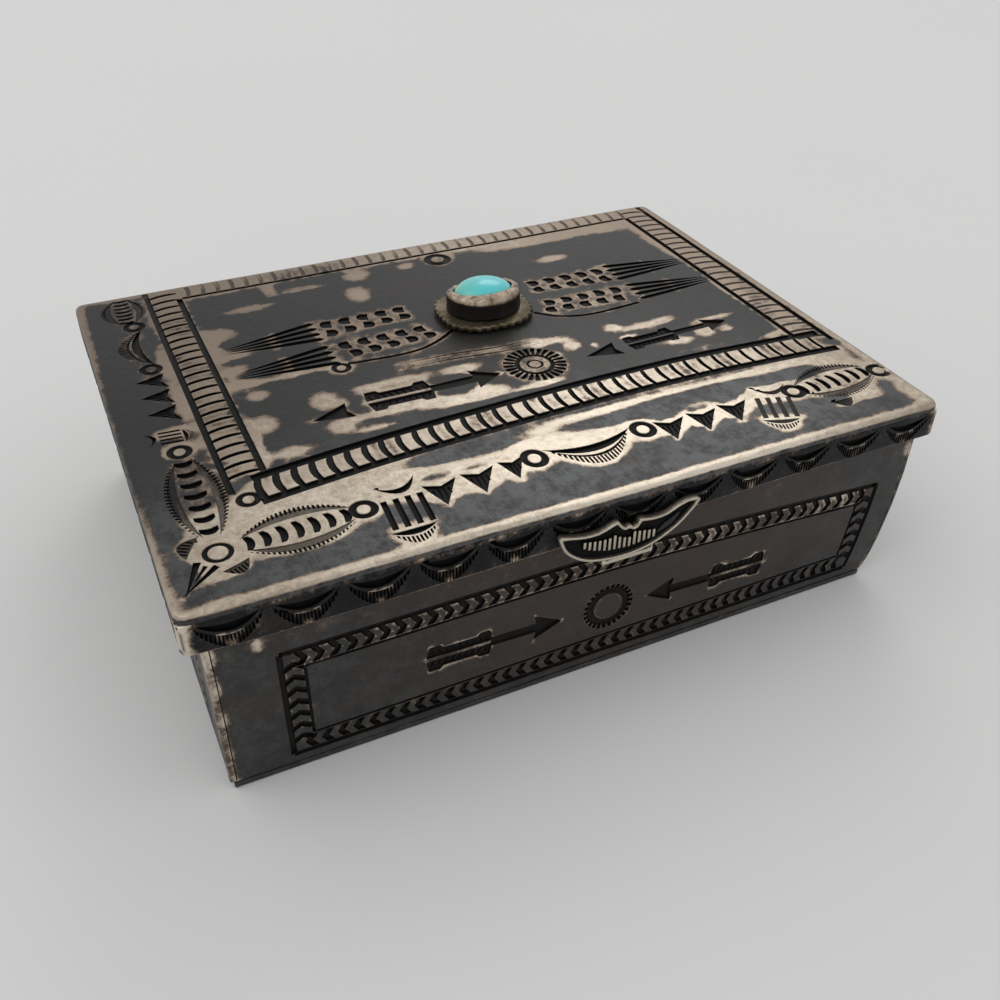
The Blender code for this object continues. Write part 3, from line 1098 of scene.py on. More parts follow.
@dataclass
class StampedSheet:
    """A flat piece of sheet silver with a stamped face, in millimetres about its middle.

    The face is at height 0 and the sheet lies below it. The seat matrix places it in the frame.
    """

    name: str
    width: float
    height: float
    thickness: float
    seat: Matrix
    pitch: float = 1.0
    corner: float = 0.0
    rim_round: float = 0.2
    end_round: float = 0.0
    rim_shine: float = 1.0
    rim_reach: float = 1.6
    wobble: float = 0.06
    halo_reach: float = 1.0
    back_shine: float = 0.34
    rise: float = 0.0
    sag: Path = STRAIGHT
    left_end: Path = STRAIGHT
    right_end: Path = STRAIGHT
    bulge: Path = STRAIGHT
    strikes: list[Strike] = field(default_factory=list)
    grooves: list[Groove] = field(default_factory=list)
    patches: list[Patch] = field(default_factory=list)
    stains: list[Patch] = field(default_factory=list)

    ROUND_STAMPS: ClassVar[tuple[Stamp, ...]] = (Stamp.SMALL_RING, Stamp.CORNER_RING, Stamp.ROSETTE)
    TOUCH: ClassVar[float] = 1e-3
    FOLD_SHINE: ClassVar[float] = 0.32
    WAVE_LENGTH: ClassVar[float] = 22.0
    RIPPLE_SHARE: ClassVar[float] = 0.25

    def blank(self) -> Piece:
        """Model the plain sheet: a grid, drawn down to its thickness, with a round rim.

        Returns:
            The blank.
        """
        columns = max(2, round(self.width / self.pitch))
        rows = max(2, round(self.height / self.pitch))
        item = Bench.add(self.name, bpy.ops.mesh.primitive_grid_add, x_subdivisions=columns,
                         y_subdivisions=rows, size=1)
        bpy.ops.transform.resize(value=(self.width, self.height, 1))
        bpy.ops.object.transform_apply(location=True, rotation=True, scale=True)
        Bench.edit(item, "FACE", lambda part: True, bpy.ops.mesh.extrude_region_move,
                   TRANSFORM_OT_translate={"value": (0, 0, -self.thickness)})
        Bench.edit(item, "FACE", lambda part: part.center.z < -self.thickness * 0.99,
                   bpy.ops.mesh.dissolve_faces)
        Bench.tidy_normals(item)
        if self.corner > 0:
            self.round_corners(item)
        self.round_rim(item, self.rim_round, False)
        if self.end_round > 0:
            self.round_rim(item, self.end_round, True)
        return item

    def round_rim(self, item: Piece, width: float, ends: bool) -> None:
        """Round the face's outline: the two ends alone, or else all but ends that are kept back.

        Args:
            item: the blank.
            width: how wide the rounding is.
            ends: whether the two ends alone are rounded.
        """
        points = item.data.vertices

        def wanted(edge: bpy.types.MeshEdge) -> bool:
            """Say whether an edge belongs to the rim that is being rounded.

            Args:
                edge: the edge.

            Returns:
                Whether it is rounded.
            """
            spots = [points[index].co for index in edge.vertices]
            at_end = all(abs(abs(spot.x) - self.width / 2) < self.TOUCH for spot in spots)
            if ends:
                return at_end and all(spot.z > -self.thickness * 0.5 for spot in spots)
            on_rim = all(abs(spot.z) < self.TOUCH / 10 and self.rim_distance(spot.x, spot.y) < self.TOUCH
                         for spot in spots)
            return on_rim and not (at_end and self.end_round > 0)

        Bench.edit(item, "EDGE", wanted, bpy.ops.mesh.bevel, offset=width, segments=3, affect="EDGES")

    def round_corners(self, item: Piece) -> None:
        """Draw the grid's four square corners into quarter circles.

        Args:
            item: the blank.
        """
        start_x = self.width / 2 - self.corner
        start_y = self.height / 2 - self.corner
        for point in item.data.vertices:
            out_x = (abs(point.co.x) - start_x) / self.corner
            out_y = (abs(point.co.y) - start_y) / self.corner
            if out_x <= 0 or out_y <= 0:
                continue
            new_x = out_x * math.sqrt(1 - out_y ** 2 / 2)
            new_y = out_y * math.sqrt(1 - out_x ** 2 / 2)
            point.co.x = math.copysign(start_x + self.corner * new_x, point.co.x)
            point.co.y = math.copysign(start_y + self.corner * new_y, point.co.y)

    def rim_distance(self, x: float, y: float) -> float:
        """Return how far a place is from the sheet's outline.

        Args:
            x: the place along the width.
            y: the place along the height.

        Returns:
            The distance, in millimetres.
        """
        over_x = abs(x) - (self.width / 2 - self.corner)
        over_y = abs(y) - (self.height / 2 - self.corner)
        outside = math.hypot(max(over_x, 0), max(over_y, 0)) + min(max(over_x, over_y), 0)
        return self.corner - outside

    def strike_all(self, item: Piece, rack: StampRack) -> None:
        """Strike the grooves and the stamps into the blank, layer by layer.

        Args:
            item: the blank.
            rack: where the cutters are kept.
        """
        for layer in Layer:
            cutters = []
            for strike in self.strikes:
                for level, cutter in rack.get(strike.stamp):
                    if level is layer:
                        cutters.append(self.copy(cutter, strike.matrix()))
            if layer is Layer.GROUND:
                for index, groove in enumerate(self.grooves):
                    path = curve_through(list(groove.points))
                    cut = Cut(lambda inset, path=path, groove=groove: stroke(
                        path, groove.width, inset, groove.pointed), groove.depth)
                    cutters.append(rack.cutter(f"groove_{index}", cut))
            if cutters:
                Bench.combine(item, Bench.join(cutters, "cutters"), "DIFFERENCE", crossing=True)

    @staticmethod
    def copy(source: Piece, matrix: Matrix) -> Piece:
        """Copy a cutter with a mesh of its own, moved by a matrix.

        Args:
            source: the cutter.
            matrix: where the copy goes.

        Returns:
            The copy.
        """
        mesh = source.data.copy()
        mesh.transform(matrix)
        if matrix.determinant() < 0:
            mesh.flip_normals()
        item = bpy.data.objects.new("struck", mesh)
        bpy.context.scene.collection.objects.link(item)
        return item

    def halo_tree(self, rack: StampRack) -> tuple[kdtree.KDTree, list[float]]:
        """Gather points along every stamp and groove, with the shine that each brings.

        Args:
            rack: where the cutters are kept.

        Returns:
            A tree of the points, and their shines.
        """
        spots: list[tuple[Vector, float]] = []
        for strike in self.strikes:
            for _, cutter in rack.get(strike.stamp):
                for point in cutter.data.vertices:
                    spot = strike.matrix() @ point.co
                    spots.append((Vector((spot.x, spot.y, 0)), strike.halo))
            if strike.stamp in self.ROUND_STAMPS:
                spots.append((Vector((strike.right, strike.up, 0)), strike.halo * 1.3))
        for groove in self.grooves:
            for spot in curve_through(list(groove.points), 12):
                spots.append((Vector((*spot, 0)), groove.halo))
        tree = kdtree.KDTree(max(len(spots), 1))
        for index, (spot, _) in enumerate(spots):
            tree.insert(spot, index)
        tree.balance()
        return tree, [shine for _, shine in spots]

    def mark(self, item: Piece, rack: StampRack) -> None:
        """Store on each point how deep it is sunk and how much it gleams.

        Args:
            item: the struck sheet.
            rack: where the cutters are kept.
        """
        tree, shines = self.halo_tree(rack)
        sink = Bench.number(item, "sink")
        gleam = Bench.number(item, "gleam")
        stain = Bench.number(item, "stain")
        for index, point in enumerate(item.data.vertices):
            spot = point.co
            stain.data[index].value = sum(patch.level(spot) for patch in self.stains)
            rim = self.rim_distance(spot.x, spot.y)
            inside = rim > self.rim_round * 1.2 and spot.z > -self.thickness * 0.8
            sink.data[index].value = -spot.z if inside else 0.0
            shine = 0.0
            if shines:
                _, nearest, distance = tree.find(Vector((spot.x, spot.y, 0)))
                shine = shines[nearest] * math.exp(-(distance / self.halo_reach) ** 2)
            edge = self.rim_shine * math.exp(-(max(rim, 0) / self.rim_reach) ** 4)
            if spot.z < -self.rim_round * 0.8 and rim < self.rim_round:
                edge = min(edge, self.FOLD_SHINE)
            level = max(shine, edge) + sum(patch.level(spot) for patch in self.patches)
            if spot.z < -self.thickness * 0.9:
                level = self.back_shine
            gleam.data[index].value = min(max(level, -0.5), 1.5)

    def unflatten(self, item: Piece) -> None:
        """Make the sheet a little uneven, as hand work leaves it, and move its edges and ends.

        Args:
            item: the struck sheet.
        """
        for point in item.data.vertices:
            near = point.co.x / (self.width / 2)
            end = self.right_end if near > 0 else self.left_end
            point.co.z += height_at(self.bulge, point.co.y)
            point.co.x += height_at(end, point.co.y) * near * abs(near)
            share = point.co.y / self.height + 0.5
            point.co.y += self.rise * share - height_at(self.sag, point.co.x) * (1 - share)
            spot = Vector((point.co.x / self.WAVE_LENGTH, point.co.y / self.WAVE_LENGTH, 0.37))
            ripple = self.RIPPLE_SHARE * noise.noise(spot * 3.5)
            point.co.z += self.wobble * (noise.noise(spot) + ripple)

    def build(self, rack: StampRack) -> Piece:
        """Make the whole sheet and seat it.

        Args:
            rack: where the cutters are kept.

        Returns:
            The finished sheet.
        """
        item = self.blank()
        self.strike_all(item, rack)
        self.mark(item, rack)
        self.unflatten(item)
        item.data.transform(self.seat)
        Bench.smooth(item, 30.0)
        return item


def seat_matrix(centre: Vector, right: Vector, up: Vector) -> Matrix:
    """Return the matrix that takes a sheet's millimetres to its place in the frame.

    Args:
        centre: the middle of the sheet's face, in metres.
        right: the direction of its first axis.
        up: the direction of its second axis.

    Returns:
        The matrix.
    """
    out = right.cross(up)
    turned = Matrix((right, up, out)).transposed().to_4x4()
    return Matrix.Translation(centre) @ turned @ Matrix.Scale(MM, 4)


def dress(item: Piece, material: Finish, body: Body, slot: Slot, *nodes: str) -> Piece:
    """Give a piece its finish, its body and the nodes that it stands for.

    Args:
        item: the piece.
        material: its finish.
        body: the body that it rides on.
        slot: the record's slot; not used.
        nodes: the CAD nodes that it replaces.

    Returns:
        The piece.
    """
    item.data.materials.clear()
    item.data.materials.append(material)
    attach(item, body.value)
    if nodes:
        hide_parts(*nodes)
    LOG.info("%s: %d faces", item.name, len(item.data.polygons))
    return item


class Side(Enum):
    """The way a sheet's face looks, as its right and up directions."""

    TOP = ((1, 0, 0), (0, 1, 0))
    UNDER = ((1, 0, 0), (0, -1, 0))
    FRONT = ((1, 0, 0), (0, 0, 1))
    BACK = ((-1, 0, 0), (0, 0, 1))
    LEFT = ((0, -1, 0), (0, 0, 1))
    RIGHT = ((0, 1, 0), (0, 0, 1))


@dataclass
class Seat:
    """Where a CAD node's outer face lies, and how large the node is, in millimetres."""

    node: str
    side: Side

    def measure(self) -> tuple[float, float, float, Matrix]:
        """Return the node's width, height and thickness as its side sees them, and its seat.

        Returns:
            The width, the height, the thickness and the seat.
        """
        low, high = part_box(self.node)
        right, up = (Vector(way) for way in self.side.value)
        out = right.cross(up)
        size = high - low
        centre = (low + high) / 2 + Vector([axis * extent / 2 for axis, extent in zip(out, size)])
        spans = [abs(size.dot(way)) / MM for way in (right, up, out)]
        return (*spans, seat_matrix(centre, right, up))

    def sheet(self, name: str, **options: object) -> StampedSheet:
        """Return a sheet of the node's size, seated where the node lies.

        Args:
            name: the sheet's name.
            options: the sheet's other fields.

        Returns:
            The sheet.
        """
        width, height, thickness, seat = self.measure()
        return StampedSheet(name, width, height, thickness, seat, **options)


def row(stamp: Stamp, spots: Iterable[Point], turn: float = 0.0, **options: float) -> list[Strike]:
    """Return one stamp struck at several places.

    Args:
        stamp: the stamp.
        spots: the places.
        turn: how far it is turned, in degrees.
        options: the strikes' other fields.

    Returns:
        The strikes.
    """
    return [Strike(stamp, right, up, turn, **options) for right, up in spots]


@dataclass
class Lid:
    """The lid: a stamped plate on four skirts."""

    rack: StampRack
    rope_pitch: float = 2.30
    rope_start: float = -36.7
    rope_count: int = 37
    side_pitch: float = 2.15
    side_count: int = 25
    lash_pitch: float = 8.27
    front_sag: Path = ((-50.8, 0.3), (-43, 0.75), (-27, 0.8), (-9, 0.75), (10, 0.4), (28, 0.1),
                                    (50.8, 0.05))

    @staticmethod
    def bow(right: float) -> float:
        """Return how high the front rope's middle lies at a place along it."""
        bend = 0.0011 if right < 20 else 0.0020
        return -16.2 - bend * (right - 20.0) ** 2

    def ropes(self) -> Chased:
        """Return the rope border's bars and the grooves beside them.

        Returns:
            The bars and the grooves.
        """
        front = [self.rope_start + index * self.rope_pitch for index in range(self.rope_count)]
        rises = [-16.2 + index * self.side_pitch for index in range(self.side_count)]
        bars = [Strike(Stamp.ROPE_BAR, spot, self.bow(spot), 0, 1.0 - 0.4 * index / self.rope_count, 1, 0.85)
                for index, spot in enumerate(front)]
        bars += row(Stamp.ROPE_BAR, [(-38.1, spot) for spot in rises], -82, halo=0.8, wide=0.72)
        bars += row(Stamp.ROPE_BAR, [(46.5, spot) for spot in rises], -98, halo=0.75, wide=0.7, deep=0.35)
        bars += row(Stamp.ROPE_BAR, [(spot + 2.4, 36.0) for spot in front[:-2]], 180, halo=0.75, wide=0.7,
                    deep=0.3)
        lines = []
        for offset, shine in ((-2.45, 0.95), (2.5, 0.0)):
            points = tuple((spot, self.bow(spot) + offset) for spot in (-37.5, -22, -5, 12, 29, 48))
            lines.append(Groove(points, 1.5, halo=shine))
        for across, start, end in ((-40.35, -19.5, 37.4), (-35.75, -16.3, 33.6), (44.2, -14.6, 33.6),
                                   (48.8, -18.0, 37.4)):
            lines.append(Groove(((across, start), (across, end)), 0.95, halo=0.2))
        lines.append(Groove(((-35.2, 33.7), (43.8, 33.7)), 0.8, halo=0.3))
        return bars, lines

    def front_band(self) -> list[Strike]:
        """Return the stamps of the band along the front edge.

        Returns:
            The strikes.
        """
        return [
            Strike(Stamp.WEDGE, -49.2, -35.3, -37, 1.0, 0.86),
            Strike(Stamp.CORNER_RING, -44.2, -29.2),
            Strike(Stamp.FAN, -46.6, -27.4, -120, 1.15),
            Strike(Stamp.FAN, -42.9, -32.0, 20),
            Strike(Stamp.LEAF, -35.0, -28.9, 1.5),
            Strike(Stamp.SMALL_RING, -27.3, -28.5),
            Strike(Stamp.PILLAR, -23.0, -31.0),
            *row(Stamp.TOOTH, [(-17.5, -27.2), (-12.4, -26.8)]),
            Strike(Stamp.TOOTH, -7.7, -26.3, 0, 0.8, 0.9),
            Strike(Stamp.SMALL_RING, -4.8, -27.3, 0, 1.0, 1.15),
            Strike(Stamp.SMILE, 3.0, -26.1),
            Strike(Stamp.SMALL_RING, 10.8, -27.2, 0, 1.0, 1.1),
            *row(Stamp.TOOTH, [(14.9, -26.6), (19.9, -26.6), (24.8, -26.5)], -8),
            Strike(Stamp.PILLAR, 29.6, -30.0, -18, 0.95, 0.92, deep=0.4),
            Strike(Stamp.SMALL_RING, 34.4, -27.5, halo=0.7),
            Strike(Stamp.LEAF, 41.4, -27.4, 2.5, 0.95, halo=0.75),
            Strike(Stamp.SMALL_RING, 48.9, -27.8, halo=0.8),
            Strike(Stamp.FAN, 39.0, -31.9, 0),
            Strike(Stamp.SMALL_RING, -38.8, -21.2, 0, 0.85, 0.85),
        ]

    def side_band(self) -> list[Strike]:
        """Return the fainter stamps of the band along the left edge.

        Returns:
            The strikes.
        """
        faint = 0.42
        return [
            Strike(Stamp.LEAF, -44.2, -18.2, -90, 1.25, 0.85, halo=0.5),
            Strike(Stamp.SMALL_RING, -44.1, -8.2, 0, 0.9, 0.9, halo=0.6),
            Strike(Stamp.PILLAR, -44.4, -4.6, 90, 0.55, 0.5, halo=faint),
            *row(Stamp.TOOTH, [(-42.3, up) for up in (1.0, 5.4, 9.8)], -90, wide=0.9, tall=0.85, halo=faint),
            Strike(Stamp.SMALL_RING, -43.6, 13.6, 0, 0.9, 0.9, halo=faint),
            Strike(Stamp.SMILE, -42.8, 20.4, -90, 0.9, 0.75, halo=faint),
            Strike(Stamp.SMALL_RING, -43.6, 27.2, 0, 0.9, 0.9, halo=faint),
            Strike(Stamp.LEAF, -44.3, 32.6, -90, 0.66, 0.8, halo=faint),
        ]

    def field_stamps(self) -> list[Strike]:
        """Return the arrows, the ring and the bird inside the rope border.

        Returns:
            The strikes.
        """
        strikes = [
            Strike(Stamp.ARROW, -9.7, -6.9, 0, 1.0, 1.22, halo=0.8),
            Strike(Stamp.ARROWHEAD, -24.5, -8.0, 188, 1.0, 1.15, halo=0.7),
            Strike(Stamp.ROSETTE, 5.6, -6.7, halo=0.55),
            Strike(Stamp.ARROW, 29.0, -6.7, 2, 0.9, 0.95, halo=0.3),
            Strike(Stamp.ARROWHEAD, 16.0, -7.6, 184, 1.0, 1.1, halo=0.2),
            Strike(Stamp.SMALL_RING, -19.5, 3.3, 0, 0.8, 0.8, halo=0.8),
            Strike(Stamp.SMALL_RING, 6.3, 31.0, 0, 1.3, 1.3, halo=0.5),
        ]
        middle = 5.4
        for mirror, level, halo in ((1, 0, 0.72), (-1, 180, 0.55)):
            for index in range(4):
                turn = level + mirror * (5.0 * index - 4.0)
                spots = [(middle - mirror * 32.0, start + 1.05 * index) for start in (5.4, 12.9)]
                strikes += row(Stamp.QUILL, spots, turn, tall=0.62, halo=halo)
            for index in range(5):
                for start, up, lean in ((22.0, 7.9, 5), (23.0, 14.9, -12)):
                    strikes.append(Strike(Stamp.FEATHER, middle - mirror * (start - index * 2.9),
                                          up + 0.12 * index, lean * mirror, mirror, 1.0 - 0.04 * index,
                                          halo=0.62))
        return strikes

    def plate_patches(self) -> list[Patch]:
        """Return the places that hands have rubbed bright on the plate, and the dark islands.

        Returns:
            The patches.
        """
        bright = (
            (-34, -23.2, 12, 2.0), (-26, -23, 7, 2.6), (-14, -24.6, 8, 1.3), (-2.5, -24, 5, 2.6),
            (6, -21.4, 8, 1.0), (22, -21.0, 14, 1.1), (38, -21.6, 9, 1.2), (45, -23.5, 4, 3.0),
            (-15, -28.8, 7, 2.2), (2.5, -25.3, 7, 1.3), (20.5, -24.4, 2.6, 1.5), (20, -28, 8, 1.4),
            (31, -26.5, 5, 2.6), (43.5, -32.4, 2.4, 1.8), (-45.4, -32.5, 2.2, 3.4), (-43.6, -26.2, 2.4, 2.4),
            (-41, -24, 4, 2.6), (48.9, -34, 1.6, 3.5), (-44, -3.5, 2.5, 1.4), (-44, -7.7, 2.5, 1.2),
            (-41.6, 3, 0.8, 5), (-41.6, 14, 0.8, 5),
            (-33, 19.5, 3.0, 2.4), (-34.4, 15.5, 1.2, 5), (-32.5, 12.6, 3.4, 1.3), (-33.4, 8.5, 2.4, 1.5),
            (-33, 4.2, 2.6, 1.4), (-26.5, 4.1, 6, 0.9), (-32, 0.6, 1.8, 1.5), (-33, -6.6, 2.1, 2.4),
            (-24.4, -4.2, 2.2, 2.6), (-15, -3.0, 6, 1.0), (-4.5, -3.6, 4, 1.0), (-14, -10.2, 8, 0.9),
            (-8, -11.4, 5, 1.2), (-3, -10.8, 3, 1.7), (3.5, -12.2, 4, 0.9), (-24, -11, 2.2, 2.0),
            (-20, -13, 3, 1.0), (-31.5, -14.0, 3.4, 1.4), (-34.6, -10, 0.6, 6),
            (13, -4, 1.7, 1.6), (11, -1.6, 3.4, 0.9), (21, -1.7, 1.6, 1.4), (25, -2.9, 3.6, 1.1),
            (29.5, -2.6, 2.4, 0.9), (21.8, -4.8, 1.6, 0.6), (16, -5.4, 1, 0.7), (28.4, -9.2, 2.6, 1.0),
            (33, -7.6, 1.6, 2.2), (37, -4.9, 3.6, 0.6), (36.6, -8.6, 1.5, 0.8), (28, -12.6, 10, 0.6),
            (42, -13.2, 3, 0.7), (44.6, 1.8, 1.1, 4.6),
            (-8, 30.6, 2.6, 2.2), (-10, 24, 2.2, 3.0), (-26.5, 26, 4.5, 1.2), (0.5, 30.6, 1.8, 1.2),
            (24, 23.8, 3.4, 1.4), (-22.4, 31.6, 1.2, 3), (-17, 29.5, 5, 0.7), (25, 31.2, 14, 1.6),
            (-30, 35, 6, 2), (39, 33, 5, 4), (45.5, 25, 3.5, 12), (17, 34.8, 22, 2.4),
        )
        dark = (
            (-11.8, -23.3, 8.5, 0.75), (23, -23.4, 19, 1.6), (38, -23.7, 5, 1.4), (-36, -34.3, 9, 1.5),
            (-14, -34, 7, 2.2), (2, -34.3, 12, 1.6), (17, -33.6, 8, 2.2), (40, -34.4, 7, 1.0),
            (-49.0, -2, 2.3, 31), (-47.9, -31.5, 1.1, 2.2), (-42.6, -35, 3.6, 1.0), (-31.5, 16, 2.4, 1.0),
            (14, -13.3, 26, 0.5), (38, -31.5, 3, 1.0),
        )
        return ([Patch(*spot) for spot in bright] + [Patch(*spot, shine=-0.8) for spot in dark])

    def plate(self) -> StampedSheet:
        """Return the stamped plate.

        Returns:
            The plate's sheet.
        """
        bars, lines = self.ropes()
        lines.append(Groove(((-18.3, 4.0), (-10, 3.5), (-5, 4.7), (-0.5, 7.6)), 0.7, 0.28, halo=0.6))
        lines.append(Groove(((29.1, 4.0), (20.8, 3.5), (15.8, 4.7), (12.5, 7.4)), 0.7, 0.28, halo=0.5))
        for up in (1.05, -0.35):
            lines.append(Groove(((-12.2, up), (-4, up - 0.35), (3, up - 1.2), (9, up - 1.3)), 0.5, 0.16,
                                True, 0.62))
        strikes = bars + self.front_band() + self.side_band() + self.field_stamps()
        return Seat("lid_plate", Side.TOP).sheet(
            "lid_plate_stamped", corner=1.6, rim_round=0.6, rim_reach=1.6, strikes=strikes, grooves=lines,
            patches=self.plate_patches(), stains=[Patch(-2.2, 24.4, 6.2, 4.4)], wobble=0.10)

    def skirt(self, node: str, side: Side, count: int, turn_out: float) -> StampedSheet:
        """Return one skirt with its row of lash stamps.

        Args:
            node: the CAD node.
            side: the way it looks.
            count: how many stamps it has.
            turn_out: how far its two ends are rounded.

        Returns:
            The skirt's sheet.
        """
        seat = Seat(node, side)
        start = -self.lash_pitch * (count - 1) / 2
        spots = [(start + index * self.lash_pitch, 1.40) for index in range(count)]
        top = seat.measure()[1] / 2
        foot = Patch(0, -top, 80, 0.16, 0.58 if side is Side.FRONT else 0.4)
        head = Patch(0, top, 80, 0.5, 0.22)
        rubbed = (0.4, 0.75 if side is Side.FRONT else 0.4)
        ends = [Patch(sign * seat.measure()[0] / 2, 0, 1.6, 4.0, shine)
                for sign, shine in zip((1, -1), rubbed)]
        ends += [Patch(right, up - 1.62, 2.4, 0.17, 0.65) for right, up in spots]
        return seat.sheet(f"{node}_stamped", pitch=0.9, rim_round=0.18, rim_shine=0.2, wobble=0.04,
                          end_round=turn_out, halo_reach=0.4, rise=0.26,
                          sag=self.front_sag if side is Side.FRONT else STRAIGHT,
                          strikes=row(Stamp.LASH, spots, halo=0.2), patches=[foot, head, *ends])

    def build(self, finish: Finish, skirt_finish: Finish) -> None:
        """Make the plate and the skirts and dress them.

        Args:
            finish: the plate's finish.
            skirt_finish: the skirts' finish.
        """
        dress(self.plate().build(self.rack), finish, Body.LID, Slot.LID, "lid_plate")
        for node, side, count, turn_out in (("front_skirt", Side.FRONT, 12, 0.8),
                                            ("back_skirt", Side.BACK, 12, 0.8),
                                            ("left_skirt", Side.LEFT, 8, 0.0),
                                            ("right_skirt", Side.RIGHT, 8, 0.0)):
            sheet = self.skirt(node, side, count, turn_out)
            dress(sheet.build(self.rack), skirt_finish, Body.LID, Slot.WORN, node)


@dataclass
class Base:
    """The base: four stamped walls on a plain bottom plate."""

    rack: StampRack
    chevron_pitch: float = 2.02
    frame_low: float = -10.6
    frame_high: float = 3.2
    right_end: Path = ((-13.5, -3.3), (-12.4, -2.6), (-11.0, -1.95), (-8, -1.2), (-2.4, -0.25),
                                    (3, 0.2), (13.5, 0.2))
    left_end: Path = ((0, -0.45),)

    def strip(self, path: list[Point], back: bool, tall: float, halo: float) -> Chased:
        """Return chevrons struck along a path, and a groove on either side of them.

        Args:
            path: the strip's middle line, with the inside of the frame to its left.
            back: whether the chevrons point back along the path.
            tall: how much the chevrons are stretched across the strip.
            halo: how bright the metal beside them is.

        Returns:
            The chevrons and the grooves.
        """
        spots = [Vector(spot) for spot in curve_through(path)]
        steps = [(end - start).length for start, end in zip(spots, spots[1:])]
        count = round(sum(steps) / self.chevron_pitch)
        strikes = []
        for index in range(count):
            left = sum(steps) * (index + 0.5) / count
            for start, end, step in zip(spots, spots[1:], steps):
                if left <= step:
                    break
                left -= step
            ahead = (end - start).normalized()
            spot = start + ahead * left
            turn = math.degrees(math.atan2(ahead.y, ahead.x)) + (180 if back else 0)
            strikes.append(Strike(Stamp.CHEVRON, spot.x, spot.y, turn, 1.0, tall, halo))
        return strikes, [Groove(beside(path, -1.42, 1.4), 0.85, 0.26, halo=0.1),
                         Groove(beside(path, 1.34, -1.3), 0.5, 0.24, halo=0.1)]

    def frame(self, left: float, right: float, fall: float) -> Chased:
        """Return the chevron frame of a wall, and the grooves beside it.

        Args:
            left: where the frame's left strip stands.
            right: where its right strip stands.
            fall: how far the upper strip falls towards its right end.

        Returns:
            The chevrons and the grooves.
        """
        top = [(spot, self.frame_high - fall * (max(spot - 2.0, 0) / 40.0) ** 1.2)
               for spot in (right, 0.7 * right, 0.35 * right, 0.0, left)]
        strikes = []
        grooves = []
        for path, back, tall, halo in (([(left, self.frame_low), (right, self.frame_low)], True, 0.95, 0.45),
                                       ([(right, self.frame_low), top[0]], False, 1.15, 0.30),
                                       (top, True, 1.0, 0.70),
                                       ([top[-1], (left, self.frame_low)], True, 1.15, 0.60)):
            chevrons, lines = self.strip(path, back, tall, halo)
            strikes += chevrons
            grooves += lines
        return strikes, grooves

    def wall(self, node: str, side: Side, left: float, right: float, arrows: float) -> StampedSheet:
        """Return one stamped wall.

        Args:
            node: the CAD node.
            side: the way it looks.
            left: where the chevron frame's left strip stands.
            right: where its right strip stands.
            arrows: how far the two arrows stand from the wall's middle, 0 for none.

        Returns:
            The wall's sheet.
        """
        strikes, grooves = self.frame(left, right, 2.1 if arrows else 0.0)
        seat = Seat(node, side)
        width = seat.measure()[0]
        if arrows:
            strikes.append(Strike(Stamp.ARROW, -arrows, -3.9, -1.5, 0.955, 1.0, 0.8))
            strikes.append(Strike(Stamp.ARROW, arrows + 3.0, -5.1, 177.6, 0.98, 0.95, 0.8))
        strikes.append(Strike(Stamp.WALL_RING, 1.9 if arrows else 0.0, -4.4, halo=0.5))
        patches = [Patch(0, 6.8, width, 1.9, 0.30)]
        # Painted light: the whole left wall gleams a little more, for the light that falls on it from the
        # left.
        if side is Side.LEFT:
            patches.append(Patch(0, 0, width, 12, 0.22))
        for sign in (1, -1):
            patches.append(Patch(sign * width / 2, 0, 1.25, 40, 0.50 if sign < 0 else 0.2))
            seam = sign * (width / 2 - 0.8)
            grooves.append(Groove(((seam, -13.2), (seam + 0.1, 0), (seam, 13.2)), 0.28, 0.14, halo=0.4))
        if arrows:
            patches.append(Patch(-43.2, 7.1, 1.0, 1.3, 0.7))
        ends = {Side.FRONT: {"left_end": self.left_end, "right_end": self.right_end},
                Side.LEFT: {"bulge": self.left_end}, Side.RIGHT: {"bulge": self.right_end}}
        return seat.sheet(f"{node}_stamped", rim_round=0.2, rim_shine=0.1, end_round=0.35, wobble=0.08,
                          halo_reach=0.5, sag=((0.0, 0.26),), strikes=strikes, grooves=grooves,
                          patches=patches, stains=[Patch(6, -3, 30, 10, 0.7), Patch(0, 7.6, 34, 2.2, 0.7)],
                          **ends[side])

    def build(self, finish: Finish) -> None:
        """Make the walls and the bottom plate and dress them.

        Args:
            finish: the walls' finish.
        """
        for node, side, left, right, arrows in (("front_wall", Side.FRONT, -39.7, 42.9, 14.4),
                                                ("left_wall", Side.LEFT, -27.0, 27.0, 0.0),
                                                ("right_wall", Side.RIGHT, -27.0, 27.0, 0.0)):
            sheet = self.wall(node, side, left, right, arrows)
            dress(sheet.build(self.rack), finish, Body.BASE, Slot.WALL, node)
        plain = Patch(0, 0, 60, 14, 0.05)
        back = Seat("back_wall", Side.BACK).sheet("back_wall_plain", end_round=0.35, rim_shine=0.3,
                                                  sag=((0.0, 0.26),), left_end=self.right_end,
                                                  right_end=self.left_end, patches=[plain])
        dress(back.build(self.rack), finish, Body.BASE, Slot.WALL, "back_wall")
        scuff = Patch(0, 0, 46, 33, 0.3)
        bottom = Seat("bottom_plate", Side.UNDER).sheet("bottom_plate_worn", pitch=2.0, rim_shine=0.0,
                                                        rim_round=0.3, left_end=((0, -0.9),),
                                                        right_end=((0, -3.6),), patches=[scuff])
        dress(bottom.build(self.rack), finish, Body.BASE, Slot.WALL, "bottom_plate")


